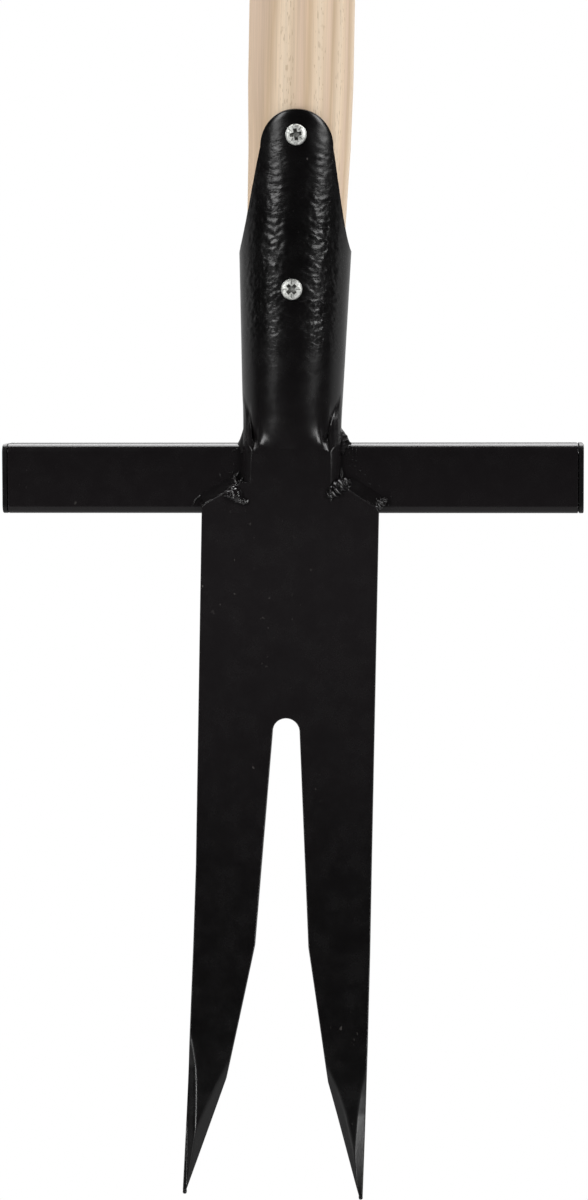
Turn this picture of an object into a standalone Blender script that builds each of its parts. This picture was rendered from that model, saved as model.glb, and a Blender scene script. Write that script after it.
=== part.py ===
"""Weeding fork with a foot tread.

A forged steel head, blade and socket in one piece, stands on the tips of its
two prongs. A square steel tread bar is welded behind its neck. An ash shaft is
held in the socket by two wood screws and ends in a turned T grip.
Units are metres, +Z is up the shaft, and the front of the blade faces -Y.
"""
from math import acos, asin, atan2, cos, hypot, pi, radians, sin, tan, tau

import bmesh
import bpy
from mathutils import Matrix, Vector

MM = 0.001
FIT = 0.3 * MM                      # clearance between pieces that touch

# Blade, heights above the tips of the prongs
PLATE = 4.0 * MM                    # thickness of the blade
BLADE_WIDTH = 63.8 * MM
SLOT_RADIUS = 4.9 * MM              # round root of the notch
SLOT_HEIGHT = 170.0 * MM            # centre of that round root
UPPER_BEND_HEIGHT = 91.6 * MM       # where the notch starts to open wider
UPPER_BEND_GAP = 19.5 * MM
LOWER_BEND_HEIGHT = 42.1 * MM       # where the points begin
LOWER_BEND_GAP = 37.2 * MM
TIP_WIDTH = 1.3 * MM
TIP_GRIND = 0.5 * MM                # how much higher a tip's outer corner ends
EDGE_LAND = 1.0 * MM                # thickness left along a ground edge
BEVEL_WIDTH = 4.1 * MM              # from a prong's outer side to the ridge
OUTER_BEVEL_HEIGHT = 54.0 * MM
INNER_BEVEL_RISE = 6.5 * MM         # start of the inner bevel over the lower bend
RIDGE_HEIGHT = 23.0 * MM            # where both bevels meet
PRONG_SWAY = 2.0 * MM               # both tips lean to the left by this
PRONG_SPLAY = 1.1 * MM              # and each outwards by this
SWAY_HEIGHT = 120.0 * MM            # height at which the lean begins
SWAY_POWER = 1.6                    # 1 leans straight, more is a bow

# Tread bar, a square tube
TREAD_HEIGHT = 248.8 * MM           # underside above the tips, at the middle
TREAD_LENGTH = 210.0 * MM
TREAD_SIZE = 25.0 * MM
TREAD_WALL = 2.0 * MM
TREAD_CORNER = 3.0 * MM
TREAD_TILT = radians(1.2)           # welded a little off square, right end high

# Shoulders and neck
SHOULDER_RISE = 2.4 * MM            # outer end of a shoulder over the tread's underside
SHOULDER_SLOPE = 8.6 * MM           # how much higher its inner end is
SHOULDER_ROUND = 2.0 * MM
NECK_WIDTH = 35.4 * MM
NECK_ROUND = 4.6 * MM               # rolled edges of the neck
NECK_FOOT_ROUND = 3.4 * MM          # the same, where the neck meets the shoulders
NECK_EDGE_POWER = 1.3               # 2 rounds these edges evenly, 1 bevels them straight
CREASE_DROP = 1.7 * MM              # the crease under the socket, below the tread's top
SOCKET_FORMING = 12.2 * MM          # over this height the flat neck turns into a tube
FRONT_FORMING_POWER = 4.0           # how soon the front bulges out over the crease
SIDE_FORMING_POWER = 1.5            # the same at the neck's rolled edges
DIMPLE_START = radians(50)          # wrap angles between which the one becomes the other
DIMPLE_END = radians(75)
BACK_FORMING_POWER = 3.0            # how soon the back hollows out over the tread

# Socket
SOCKET_WALL = 2.4 * MM
SOCKET_LENGTH = 69.2 * MM
SOCKET_RADIUS = 20.3 * MM
SOCKET_TAPER = 0.0385               # loss of radius per length going down
SOCKET_OFFSET = -0.85 * MM          # its middle stands this far left of the shaft's line
SKIRT_LIFT = 1.8 * MM               # lower edge of the wrapped sides over the tread
SEAM_GAP = 2.0 * MM
SEAM_DROP = 3.0 * MM                # the ring's edge is lower at the seam
RING_TILT = 0.8 * MM                # the ring's edge is this much higher on the right, lower on the left
TONGUE_LENGTH = 49.6 * MM
TONGUE_HALF_WIDTH = 13.1 * MM
TONGUE_CAP = 13.0 * MM              # height of the round end
TONGUE_CAP_POWER = 2.15             # 2 is an ellipse, more is squarer
TONGUE_SIDE_BOW = 15.0 * MM         # hollows the tongue's sides where they near the ring

# Shaft
SHAFT_DIAMETER = 38.0 * MM
SHAFT_NECKING = 60.0 * MM           # length over the ring's edge in which it narrows
SHAFT_LIFT = 1.0 * MM               # lower end over the start of the round socket
SHAFT_LENGTH = 822.0 * MM           # up to the grip's middle
SHAFT_TOP_DIAMETER = 30.0 * MM
SHAFT_TOP_TAPER = 150.0 * MM
TENON_DIAMETER = 23.0 * MM
TENON_PROUD = 0.8 * MM

# Grip
GRIP_LENGTH = 130.0 * MM
GRIP_DIAMETER = 39.0 * MM           # at the middle
GRIP_END_DIAMETER = 29.0 * MM
GRIP_END_ROUND = 9.0 * MM
GRIP_SEAT_DEPTH = 5.0 * MM          # the shaft's shoulder is let into the grip
WEDGE_THICKNESS = 2.6 * MM
WEDGE_WIDTH = 18.0 * MM
WEDGE_DEPTH = 22.0 * MM

# Screws
SCREW_DIAMETER = 4.0 * MM
SCREW_LENGTH = 25.0 * MM
SCREW_POINT = 5.0 * MM
SCREW_HEAD_DIAMETER = 8.0 * MM
SCREW_HEAD_HEIGHT = 2.6 * MM
SCREW_TIP_SHARE = 0.55              # of the shank's radius, where the point gets steep
SCREW_RIM_SHARE = 0.35              # of the head's height, below its dome
RECESS_SPAN = 3.2 * MM              # from the middle to an arm's end, twice its depth up
RECESS_ROOT = 1.4 * MM              # the same at its bottom
RECESS_ARM = 1.15 * MM
RECESS_DEPTH = 1.7 * MM
UPPER_SCREW_DROP = 8.9 * MM         # below the tongue's end
SCREW_SPACING = 54.6 * MM
LOWER_SCREW_OFFSET = -0.6 * MM
UPPER_SCREW_TURN = radians(-10)
LOWER_SCREW_TURN = radians(45)

# End caps of the tread bar
CAP_FLANGE = 1.7 * MM
CAP_EDGE = 0.6 * MM                 # rounding of the flange's outer edge
CAP_REACH = 12.0 * MM               # how far the plug goes into the tube
CAP_WALL = 1.6 * MM
CAP_RIB = 0.8 * MM                  # height of the gripping ribs
CAP_RIBS = 3
CAP_RIB_START = 0.6                 # of a rib's pitch, where its ramp begins
CAP_RIB_END = 0.7

# Weld beads
SHOULDER_BEAD_LEG = 4.6 * MM
SOCKET_BEAD_LEG = 3.2 * MM
SOCKET_BEAD_HEIGHT_LEFT = 4.0 * MM
SOCKET_BEAD_HEIGHT_RIGHT = 7.0 * MM
SOCKET_BEAD_REACH = 9.0 * MM        # each way from the middle of the tread
BEAD_RIPPLE = 0.14                  # share by which a bead swells and narrows
BEAD_END = 0.45                     # size of a bead's ends against its middle
BEAD_FLAT = 0.86                    # height of a fillet's face against its legs
BEAD_OVERHANG = 1.2 * MM            # how far the shoulder's bead may pass the blade's front

# Places that follow from the sizes above
TREAD_TOP = TREAD_HEIGHT + TREAD_SIZE
TREAD_MIDDLE = TREAD_HEIGHT + TREAD_SIZE / 2
PLATE_BACK = -TREAD_SIZE / 2 - FIT
PLATE_FRONT = PLATE_BACK - PLATE
SHOULDER_OUT = TREAD_HEIGHT + SHOULDER_RISE
SHOULDER_IN = SHOULDER_OUT + SHOULDER_SLOPE
CREASE = TREAD_TOP - CREASE_DROP
TUBE_START = TREAD_TOP + SOCKET_FORMING
SKIRT = TREAD_TOP + SKIRT_LIFT
OVER_TREAD = TREAD_TOP + FIT + NECK_WIDTH / 2 * tan(TREAD_TILT)
RING = TREAD_TOP + SOCKET_LENGTH
TONGUE_TOP = RING + TONGUE_LENGTH
TONGUE_CAP_START = TONGUE_TOP - TONGUE_CAP
SHAFT_END = TUBE_START + SHAFT_LIFT
SHAFT_FULL = RING + SHAFT_NECKING
GRIP_MIDDLE = SHAFT_END + SHAFT_LENGTH
UPPER_SCREW = TONGUE_TOP - UPPER_SCREW_DROP
LOWER_SCREW = UPPER_SCREW - SCREW_SPACING


def material(name, colour, roughness, metallic=0.0):
    """A plain Principled material."""
    made = bpy.data.materials.new(name)
    made.use_nodes = True
    shader = made.node_tree.nodes["Principled BSDF"]
    shader.inputs["Base Color"].default_value = (*colour, 1.0)
    shader.inputs["Roughness"].default_value = roughness
    shader.inputs["Metallic"].default_value = metallic
    return made


def place(name, mesh_source, finish, sharp=30):
    """Turns a bmesh into a named object with its material, shaded smooth but for sharp edges."""
    bmesh.ops.recalc_face_normals(mesh_source, faces=mesh_source.faces)
    mesh = bpy.data.meshes.new(name)
    mesh_source.to_mesh(mesh)
    mesh_source.free()
    mesh.shade_smooth()
    mesh.set_sharp_from_angle(angle=radians(sharp))
    piece = bpy.data.objects.new(name, mesh)
    bpy.context.collection.objects.link(piece)
    if finish:
        mesh.materials.append(finish)
    return piece


def from_faces(faces):
    """Joins faces given as lists of points, and leaves out corners that coincide."""
    made = bmesh.new()
    corners = {}

    def corner(point):
        key = tuple(round(value * 1e7) for value in point)
        if key not in corners:
            corners[key] = made.verts.new(point)
        return corners[key]

    for face in faces:
        ring = []
        for point in face:
            vertex = corner(point)
            if not ring or vertex is not ring[-1]:
                ring.append(vertex)
        if ring[0] is ring[-1]:
            ring.pop()
        if len(ring) > 2:
            made.faces.new(ring)
    return made


def loft(rings, round_trip=False):
    """Joins closed rings of points, and closes both ends or the last ring with the first."""
    faces = []
    pairs = list(zip(rings, rings[1:]))
    if round_trip:
        pairs.append((rings[-1], rings[0]))
    else:
        faces += [list(rings[0]), list(reversed(rings[-1]))]
    for low, high in pairs:
        for here in range(len(low)):
            after = (here + 1) % len(low)
            faces.append([low[after], low[here], high[here], high[after]])
    return from_faces(faces)


def turned(profile, steps):
    """Spins a profile of (radius, height) points once round the Z axis."""
    made = bmesh.new()
    points = [made.verts.new((radius, 0, height)) for radius, height in profile]
    edges = [made.edges.new(pair) for pair in zip(points, points[1:])]
    bmesh.ops.spin(made, geom=points + edges, cent=(0, 0, 0), axis=(0, 0, 1),
                   angle=tau, steps=steps, use_merge=True)
    bmesh.ops.remove_doubles(made, verts=made.verts, dist=1e-6)
    return made


def arc(centre, radius, start, end, steps):
    """Points (x, y) on an arc, both ends included."""
    angles = [start + (end - start) * step / steps for step in range(steps + 1)]
    return [(centre[0] + radius * cos(a), centre[1] + radius * sin(a)) for a in angles]


def cut(piece, cutter):
    """Takes a hidden cutter out of a piece."""
    cutter.hide_render = True
    cutter.display_type = "WIRE"
    boolean = piece.modifiers.new(cutter.name, "BOOLEAN")
    boolean.operation = "DIFFERENCE"
    boolean.solver = "EXACT"
    boolean.object = cutter


def drill(name, radius, length, steps=20):
    """A cutter rod along its own Z axis, from its origin."""
    return place(name, turned([(0, 0), (radius, 0), (radius, length), (0, length)], steps), None)


def mix(first, second, share):
    return first + (second - first) * share


def clamp(value):
    return max(0.0, min(1.0, value))


def socket_radius(height):
    """Outer radius of the socket and its tongue: one cone to the ring, a slimmer one above."""
    if height <= RING:
        return SOCKET_RADIUS - SOCKET_TAPER * (RING - height)
    above = (SHAFT_DIAMETER / 2 - shaft_radius_at_ring()) / SHAFT_NECKING
    return SOCKET_RADIUS + above * min(height - RING, SHAFT_NECKING)


def socket_middle(height):
    """Middle (x) of the socket, which its tongue and the shaft in it lead back to the shaft's line."""
    return SOCKET_OFFSET * (1 - tongue_share(height))


def shaft_radius_at_ring():
    return SOCKET_RADIUS - SOCKET_WALL - FIT


def shaft_radius(height):
    """Radius of the shaft at a height, up to the full shaft."""
    if height <= SHAFT_FULL:
        return socket_radius(height) - SOCKET_WALL - FIT
    return SHAFT_DIAMETER / 2


def neck_point(angle, face, edge_round):
    """The neck's section as seen from above, (x, y), for a wrap angle of the socket.

    The face is 0 at the front and 1 at the back, and an angle of a quarter turn is the
    neck's edge. Past it, the section goes round to the back of the socket.
    """
    half = NECK_WIDTH / 2
    side = 1 if angle >= 0 else -1
    turn = abs(angle)
    if turn > pi / 2:
        inset = SOCKET_WALL * face * sin(turn - pi / 2)
        reach = socket_radius(CREASE) - inset - PLATE_BACK
        return side * (half - inset) * sin(turn), PLATE_BACK - reach * cos(turn)
    share = turn / (pi / 2)
    if face:
        return side * half * share, PLATE_BACK
    flat = half - edge_round
    depth = PLATE_BACK - PLATE_FRONT
    along = share * (flat + edge_round * pi / 2)
    if along <= flat:
        return side * along, PLATE_FRONT
    bend = (along - flat) / edge_round
    power = 2 / NECK_EDGE_POWER
    return side * (flat + edge_round * sin(bend) ** power), PLATE_BACK - depth * max(cos(bend), 0) ** power


def head_point(angle, height, face):
    """A point on the front (face 0) or back (face 1) of the formed sheet."""
    radius = socket_radius(height) - SOCKET_WALL * face
    tube = (socket_middle(height) + radius * sin(angle), -radius * cos(angle))
    start = OVER_TREAD if face else CREASE
    beside = clamp((abs(angle) - DIMPLE_START) / (DIMPLE_END - DIMPLE_START))
    front_power = mix(FRONT_FORMING_POWER, SIDE_FORMING_POWER, beside)
    ease = BACK_FORMING_POWER if face else front_power
    formed = 1 - (1 - clamp((height - start) / (TUBE_START - start))) ** ease
    rolled = clamp((height - SHOULDER_IN) / (CREASE - SHOULDER_IN))
    flat = neck_point(angle, face, mix(NECK_FOOT_ROUND, NECK_ROUND, rolled))
    return Vector((mix(flat[0], tube[0], formed), mix(flat[1], tube[1], formed), height))


def tongue_share(height):
    """0 at the ring and below it, 1 where the tongue's round end starts."""
    return clamp((height - RING) / (TONGUE_CAP_START - RING))


def ring_tilt(angle, height):
    """How far a point of the sheet's upper edge is raised on the right and lowered on the left."""
    return RING_TILT * sin(angle) * (1 - tongue_share(height))


def tongue_outline():
    """(angle, height) points of the sheet's upper edge, from the tongue's tip to the seam."""
    points = []
    cap_steps = 8
    for step in range(cap_steps + 1):
        turn = pi / 2 * step / cap_steps
        width = TONGUE_HALF_WIDTH * sin(turn) ** (2 / TONGUE_CAP_POWER)
        height = TONGUE_CAP_START + TONGUE_CAP * max(cos(turn), 0) ** (2 / TONGUE_CAP_POWER)
        points.append((asin(width / socket_radius(height)), height))
    # the tongue's side is slightly hollow in front view and reaches the ring's silhouette
    side_steps = 8
    flare = (SOCKET_RADIUS - TONGUE_HALF_WIDTH) / (TONGUE_CAP_START - RING)
    swell = (socket_radius(TONGUE_CAP_START) - SOCKET_RADIUS) / (TONGUE_CAP_START - RING)
    first = points[-1][0]
    for step in range(1, side_steps + 1):
        angle = mix(first, pi / 2, step / side_steps)
        rise = SOCKET_RADIUS * (1 - sin(angle)) / (flare + swell * sin(angle))
        share = tongue_share(RING + rise)
        points.append((angle, RING + rise - TONGUE_SIDE_BOW * share * (1 - share) ** 2))
    back_steps = 9
    seam = pi - SEAM_GAP / 2 / SOCKET_RADIUS
    for step in range(1, back_steps + 1):
        share = step / back_steps
        points.append((mix(pi / 2, seam, share), RING - SEAM_DROP * share ** 2))
    return points


def sheet_levels(top):
    """Heights of a column of the formed sheet, from the shoulders to its upper edge."""
    neck = [mix(SHOULDER_IN, CREASE, share) for share in (0, 0.3, 0.65, 1)]
    forming = [mix(CREASE, SKIRT, share) for share in (0.3, 0.65)]
    tube = [mix(SKIRT, TUBE_START, share) for share in (0, 0.15, 0.35, 0.6, 1)]
    upper_rows = 7
    upper = [mix(TUBE_START, top, row / upper_rows) for row in range(1, upper_rows + 1)]
    return neck + forming + tube + upper


def formed_sheet():
    """Faces of the neck, socket and tongue: one sheet, flat below and wrapped above."""
    half = tongue_outline()
    columns = [(-angle, top - ring_tilt(angle, top)) for angle, top in reversed(half[1:])]
    columns += [(angle, top + ring_tilt(angle, top)) for angle, top in half]
    levels = [sheet_levels(top) for _, top in columns]
    skirt_row = levels[0].index(SKIRT)

    def point(column, row, face):
        return head_point(columns[column][0], levels[column][row], face)

    def present(column, row):
        """Whether the sheet holds the cell right of this column and above this row."""
        inside = 0 <= column < len(columns) - 1 and 0 <= row < len(levels[0]) - 1
        if not inside:
            return False
        reach = max(abs(columns[column][0]), abs(columns[column + 1][0]))
        return row >= skirt_row or reach <= pi / 2 + 1e-9

    faces = []
    for column in range(len(columns) - 1):
        for row in range(len(levels[0]) - 1):
            if not present(column, row):
                continue
            corners = [(column, row), (column + 1, row), (column + 1, row + 1), (column, row + 1)]
            beside = [(column, row - 1), (column + 1, row), (column, row + 1), (column - 1, row)]
            faces.append([point(*corner, 0) for corner in corners])
            faces.append([point(*corner, 1) for corner in reversed(corners)])
            for index, neighbour in enumerate(beside):
                joins_blade = index == 0 and row == 0
                if present(*neighbour) or joins_blade:
                    continue
                start, end = corners[index], corners[(index + 1) % 4]
                faces.append([point(*end, 0), point(*start, 0), point(*start, 1), point(*end, 1)])
    inner = [column for column in range(len(columns)) if abs(columns[column][0]) <= pi / 2 + 1e-9]
    front_edge = [point(column, 0, 0) for column in inner]
    back_edge = [point(column, 0, 1) for column in inner]
    return faces, front_edge, back_edge


def bent_low(height):
    """0 where the prongs are straight, rising to 1 at their tips."""
    return clamp((SWAY_HEIGHT - height) / SWAY_HEIGHT)


def outer_side(height):
    """Distance of a prong's outer side from the blade's middle."""
    return BLADE_WIDTH / 2 + PRONG_SPLAY * bent_low(height)


def half_outline():
    """Right half of the blade's outline, from the neck's foot round the tip to the slot's top.

    Each point is (x, height, ground): at a ground point the front face draws back from the
    outline and leaves a bevel.
    """
    half = BLADE_WIDTH / 2
    neck = NECK_WIDTH / 2
    fall = atan2(SHOULDER_SLOPE, half - neck)
    inset = SHOULDER_ROUND * tan((pi / 2 - fall) / 2)
    corner = (half - SHOULDER_ROUND, SHOULDER_OUT - inset)
    points = [(neck, SHOULDER_IN, False)]
    points += [(*spot, False) for spot in arc(corner, SHOULDER_ROUND, pi / 2 - fall, 0, 3)]
    straight = [SWAY_HEIGHT, mix(SWAY_HEIGHT, OUTER_BEVEL_HEIGHT, 0.5), OUTER_BEVEL_HEIGHT]
    points += [(outer_side(height), height, False) for height in straight]
    ground = [OUTER_BEVEL_HEIGHT * share for share in (0.75, 0.5, 0.25)] + [TIP_GRIND]
    points += [(outer_side(height), height, True) for height in ground]
    # the notch's side, as straight runs between the tip and the two bends
    tip = outer_side(0) - TIP_WIDTH
    low = LOWER_BEND_GAP / 2
    high = UPPER_BEND_GAP / 2
    for share in (0, 1 / 3, 2 / 3, 1):
        points.append((mix(tip, low, share), LOWER_BEND_HEIGHT * share, True))
    rise = UPPER_BEND_HEIGHT - LOWER_BEND_HEIGHT
    for share in (INNER_BEVEL_RISE / rise, 0.5, 1):
        points.append((mix(low, high, share), LOWER_BEND_HEIGHT + rise * share, False))
    # from the upper bend a straight side touches the slot's round root
    run = SLOT_HEIGHT - UPPER_BEND_HEIGHT
    touch = acos(SLOT_RADIUS / hypot(run, high)) - atan2(run, high)
    points += [(*spot, False) for spot in arc((0, SLOT_HEIGHT), SLOT_RADIUS, touch, pi / 2, 7)]
    return points


def half_blade(side):
    """Walls and bevels of one half of the blade, with its corners on the front and the back."""
    def spot(x, height, depth):
        sway = PRONG_SWAY * bent_low(height) ** SWAY_POWER
        return Vector((side * x - sway, depth, height))

    outline = half_outline()
    back = [spot(x, height, PLATE_BACK) for x, height, _ in outline]
    front = [spot(x, height, PLATE_BACK - (EDGE_LAND if ground else PLATE))
             for x, height, ground in outline]
    pairs = range(len(outline) - 1)
    walls = [[front[here], front[here + 1], back[here + 1], back[here]] for here in pairs]
    ridge = spot(outer_side(RIDGE_HEIGHT) - BEVEL_WIDTH, RIDGE_HEIGHT, PLATE_FRONT)
    ground = [index for index, point in enumerate(outline) if point[2]]
    first, last = ground[0] - 1, ground[-1] + 1
    bevels = [[ridge, front[here], front[here + 1]] for here in range(first, last)]
    face = front[:first + 1] + [ridge] + front[last:]
    return walls + bevels, face, back


def blade(front_edge, back_edge):
    """Faces of the blade, joined to the lower edge of the formed sheet."""
    right, right_face, right_back = half_blade(1)
    left, left_face, left_back = half_blade(-1)
    flat_top = [point for point in front_edge if point.y < PLATE_FRONT + 1e-9]
    faces = right + left
    faces.append(right_face + left_face[::-1] + flat_top)
    faces.append(right_back + left_back[::-1] + back_edge)
    # small steps before the neck's rolled edges
    rolled = len(front_edge) - (len(front_edge) - len(flat_top)) // 2 - 1
    faces.append(front_edge[rolled:] + [right_face[0]])
    faces.append(front_edge[:len(front_edge) - rolled] + [left_face[0]])
    return faces


def fork_head(finish):
    """Blade, neck, socket and tongue, forged in one piece, with two screw holes."""
    sheet, front_edge, back_edge = formed_sheet()
    made = from_faces(sheet + blade(front_edge, back_edge))
    piece = place("fork_head", made, finish, sharp=35)
    for name, x, height in screw_places():
        hole = drill(f"{name}_hole", SCREW_DIAMETER / 2 + FIT, SOCKET_RADIUS)
        hole.location = (x, -1.5 * SOCKET_RADIUS, height)
        hole.rotation_euler = (-pi / 2, 0, 0)
        cut(piece, hole)
    return piece


def screw_places():
    return [("upper_screw", 0.0, UPPER_SCREW), ("lower_screw", LOWER_SCREW_OFFSET, LOWER_SCREW)]


def rounded_square(half, corner, height, steps=4):
    """A ring of points: a square with round corners, at a height."""
    centre = half - corner
    ring = []
    for quarter in range(4):
        turn = pi / 2 * quarter
        middle = (centre * (cos(turn) - sin(turn)), centre * (sin(turn) + cos(turn)))
        ring += [Vector((x, y, height)) for x, y in arc(middle, corner, turn, turn + pi / 2, steps)]
    return ring


def tread_bar(finish):
    """Square tube with open ends, along its own Z axis before it is laid down."""
    half = TREAD_SIZE / 2
    reach = TREAD_LENGTH / 2 - CAP_FLANGE - FIT
    bore = (half - TREAD_WALL, TREAD_CORNER - TREAD_WALL)
    rings = [
        rounded_square(half, TREAD_CORNER, -reach),
        rounded_square(half, TREAD_CORNER, reach),
        rounded_square(*bore, reach),
        rounded_square(*bore, -reach),
    ]
    piece = place("tread_bar", loft(rings, round_trip=True), finish)
    piece.matrix_world = tread_frame() @ Matrix.Rotation(pi / 2, 4, "Y")
    return piece


def tread_frame():
    """The tread's middle, with X along the tilted bar."""
    return Matrix.Translation((0, 0, TREAD_MIDDLE)) @ Matrix.Rotation(-TREAD_TILT, 4, "Y")


def end_cap(name, side, finish):
    """Plastic plug: a flange that covers the tube's end and a ribbed hollow body inside it."""
    half = TREAD_SIZE / 2
    inside = half - TREAD_WALL - FIT
    core = inside - CAP_RIB
    hollow = core - CAP_WALL
    round_in = TREAD_CORNER - TREAD_WALL
    start = TREAD_LENGTH / 2 - CAP_FLANGE
    outer_end = TREAD_LENGTH / 2
    tip = start - CAP_REACH
    rings = [
        rounded_square(half - CAP_EDGE, TREAD_CORNER - CAP_EDGE, outer_end),
        rounded_square(half - CAP_EDGE / 4, TREAD_CORNER, outer_end - CAP_EDGE / 4),
        rounded_square(half, TREAD_CORNER, outer_end - CAP_EDGE),
        rounded_square(half, TREAD_CORNER, start),
    ]
    pitch = CAP_REACH / CAP_RIBS
    for rib in range(CAP_RIBS):
        root = start - pitch * rib
        rings.append(rounded_square(core, round_in, root))
        rings.append(rounded_square(core, round_in, root - pitch * CAP_RIB_START))
        rings.append(rounded_square(inside, round_in, root - pitch * CAP_RIB_END))
    rings.append(rounded_square(core, round_in, tip))
    rings.append(rounded_square(hollow, round_in / 2, tip))
    rings.append(rounded_square(hollow, round_in / 2, start))
    piece = place(name, loft(rings), finish)
    turn = pi / 2 * side
    piece.matrix_world = tread_frame() @ Matrix.Rotation(turn, 4, "Y")
    return piece


def bead_scale(station, stations, ripples):
    """Size of a bead at one of its stations: tapered ends and a rippled middle."""
    share = station / (stations - 1)
    ends = mix(BEAD_END, 1, sin(pi * share) ** 0.4)
    return ends * (1 + BEAD_RIPPLE * cos(tau * ripples * share))


def shoulder_weld(name, side, finish):
    """A fillet along the shoulder's upper edge, against the front of the tread bar."""
    half = BLADE_WIDTH / 2
    neck = NECK_WIDTH / 2
    along = Vector((half - neck, 0, -SHOULDER_SLOPE)).normalized()
    up = Vector((-along.z, 0, along.x))
    inner = Vector((neck, PLATE_BACK, SHOULDER_IN)) + up * FIT + along * (FIT + along.x * FIT)
    run = (half - neck) / along.x - 2 * FIT
    stations = 13
    arc_steps = 5
    rings = []
    for station in range(stations):
        size = SHOULDER_BEAD_LEG * bead_scale(station, stations, 4)
        size = min(size, PLATE + BEAD_OVERHANG)
        origin = inner + along * run * station / (stations - 1)
        ring = [origin]
        for step in range(arc_steps + 1):
            turn = pi / 2 * step / arc_steps
            reach = size * mix(BEAD_FLAT, 1, abs(cos(2 * turn)))
            ring.append(origin + Vector((0, -reach * cos(turn), 0)) + up * reach * sin(turn))
        rings.append([Vector((side * point.x, point.y, point.z)) for point in ring])
    return place(name, loft(rings), finish, sharp=50)


def socket_side(side, depth, height):
    """The socket's outside (x) on its left (-1) or right (1), at a depth (y) and a height."""
    steps = 60
    first, last = radians(30), radians(155)
    before = head_point(side * first, height, 0)
    for step in range(1, steps + 1):
        here = head_point(side * mix(first, last, step / steps), height, 0)
        if here.y >= depth:
            share = (depth - before.y) / (here.y - before.y)
            return mix(before.x, here.x, share)
        before = here
    return before.x


def socket_weld(name, side, rise, finish):
    """A fillet on the tread's top along one side of the socket, shaped to both."""
    stations = 11
    root_steps = 4
    arc_steps = 5
    rings = []
    for station in range(stations):
        depth = mix(-SOCKET_BEAD_REACH, SOCKET_BEAD_REACH, station / (stations - 1))
        scale = bead_scale(station, stations, 3)
        leg = SOCKET_BEAD_LEG * scale
        tall = rise * scale
        near = socket_side(side, depth, SKIRT)
        floor = TREAD_TOP + (near + side * leg / 2) * tan(TREAD_TILT) + 1.3 * FIT
        ring = []
        for step in range(root_steps + 1):
            height = floor + tall * (1 - step / root_steps)
            wall = socket_side(side, depth, max(height, SKIRT)) + side * FIT
            ring.append(Vector((wall, depth, height)))
        low = ring[-1]
        for step in range(arc_steps):
            turn = pi / 2 * step / arc_steps
            x = low.x + side * leg * cos(turn)
            z = low.z + tall * sin(turn) * BEAD_FLAT
            ring.append(Vector((x, depth, z)))
        rings.append(ring)
    return place(name, loft(rings), finish, sharp=50)


def handle_shaft(finish):
    """Turned ash shaft: cone in the socket, full round above, a tenon at the top."""
    seat = GRIP_MIDDLE - GRIP_DIAMETER / 2 + GRIP_SEAT_DEPTH
    top = GRIP_MIDDLE + GRIP_DIAMETER
    full = SHAFT_DIAMETER / 2
    neck = SHAFT_TOP_DIAMETER / 2
    tenon = TENON_DIAMETER / 2
    chamfer = 1.0 * MM
    profile = [(0, SHAFT_END), (shaft_radius(SHAFT_END) - chamfer, SHAFT_END)]
    profile += [(shaft_radius(height), height)
                for height in (SHAFT_END + chamfer, RING, TONGUE_CAP_START, SHAFT_FULL)]
    taper_steps = 6
    for step in range(taper_steps + 1):
        share = step / taper_steps
        ease = share * share * (3 - 2 * share)
        profile.append((mix(full, neck, ease), mix(seat - SHAFT_TOP_TAPER, seat, share)))
    profile += [(tenon, seat), (tenon, top), (0, top)]
    rod = turned(profile, 32)
    for vertex in rod.verts:
        vertex.co.x += socket_middle(vertex.co.z)
    piece = place("handle_shaft", rod, finish)
    for name, x, height in screw_places():
        pilot = drill(f"{name}_pilot", SCREW_DIAMETER / 2 + FIT, SHAFT_DIAMETER + screw_reach(height))
        pilot.location = (x, -SHAFT_DIAMETER, height)
        pilot.rotation_euler = (-pi / 2, 0, 0)
        cut(piece, pilot)
    cut(piece, wedge_block("kerf", FIT, None))
    cut(piece, flush_cutter("tenon_flush"))
    return piece


def flush_cutter(name):
    """Half a tube along X that trims what stands out of the grip's round top."""
    radius = GRIP_DIAMETER / 2 + TENON_PROUD
    roof = GRIP_MIDDLE + GRIP_DIAMETER
    section = arc((0, GRIP_MIDDLE), radius, 0, pi, 24) + [(-radius, roof), (radius, roof)]
    return place(name, loft([[Vector((x, y, z)) for y, z in section]
                             for x in (radius, -radius)]), None)


def screw_reach(height):
    """Depth (y) that a screw's pilot hole reaches, from the shaft's middle."""
    return SCREW_LENGTH - socket_radius(height)


def wedge_block(name, margin, finish):
    """The wedge driven into the tenon's end, or with a margin the kerf that takes it."""
    top = GRIP_MIDDLE + GRIP_DIAMETER / 2 + TENON_PROUD
    thick = WEDGE_THICKNESS / 2
    thin = thick / 3
    wide = WEDGE_WIDTH / 2 + margin
    over = 10 * FIT
    rings = []
    for height, depth in ((top - WEDGE_DEPTH - margin, thin + margin), (top + over, thick + margin)):
        rings.append([Vector((x * depth, y * wide, height)) for x, y in
                      ((-1, -1), (1, -1), (1, 1), (-1, 1))])
    piece = place(name, loft(rings), finish)
    if finish:
        cut(piece, flush_cutter(f"{name}_flush"))
    return piece


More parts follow.
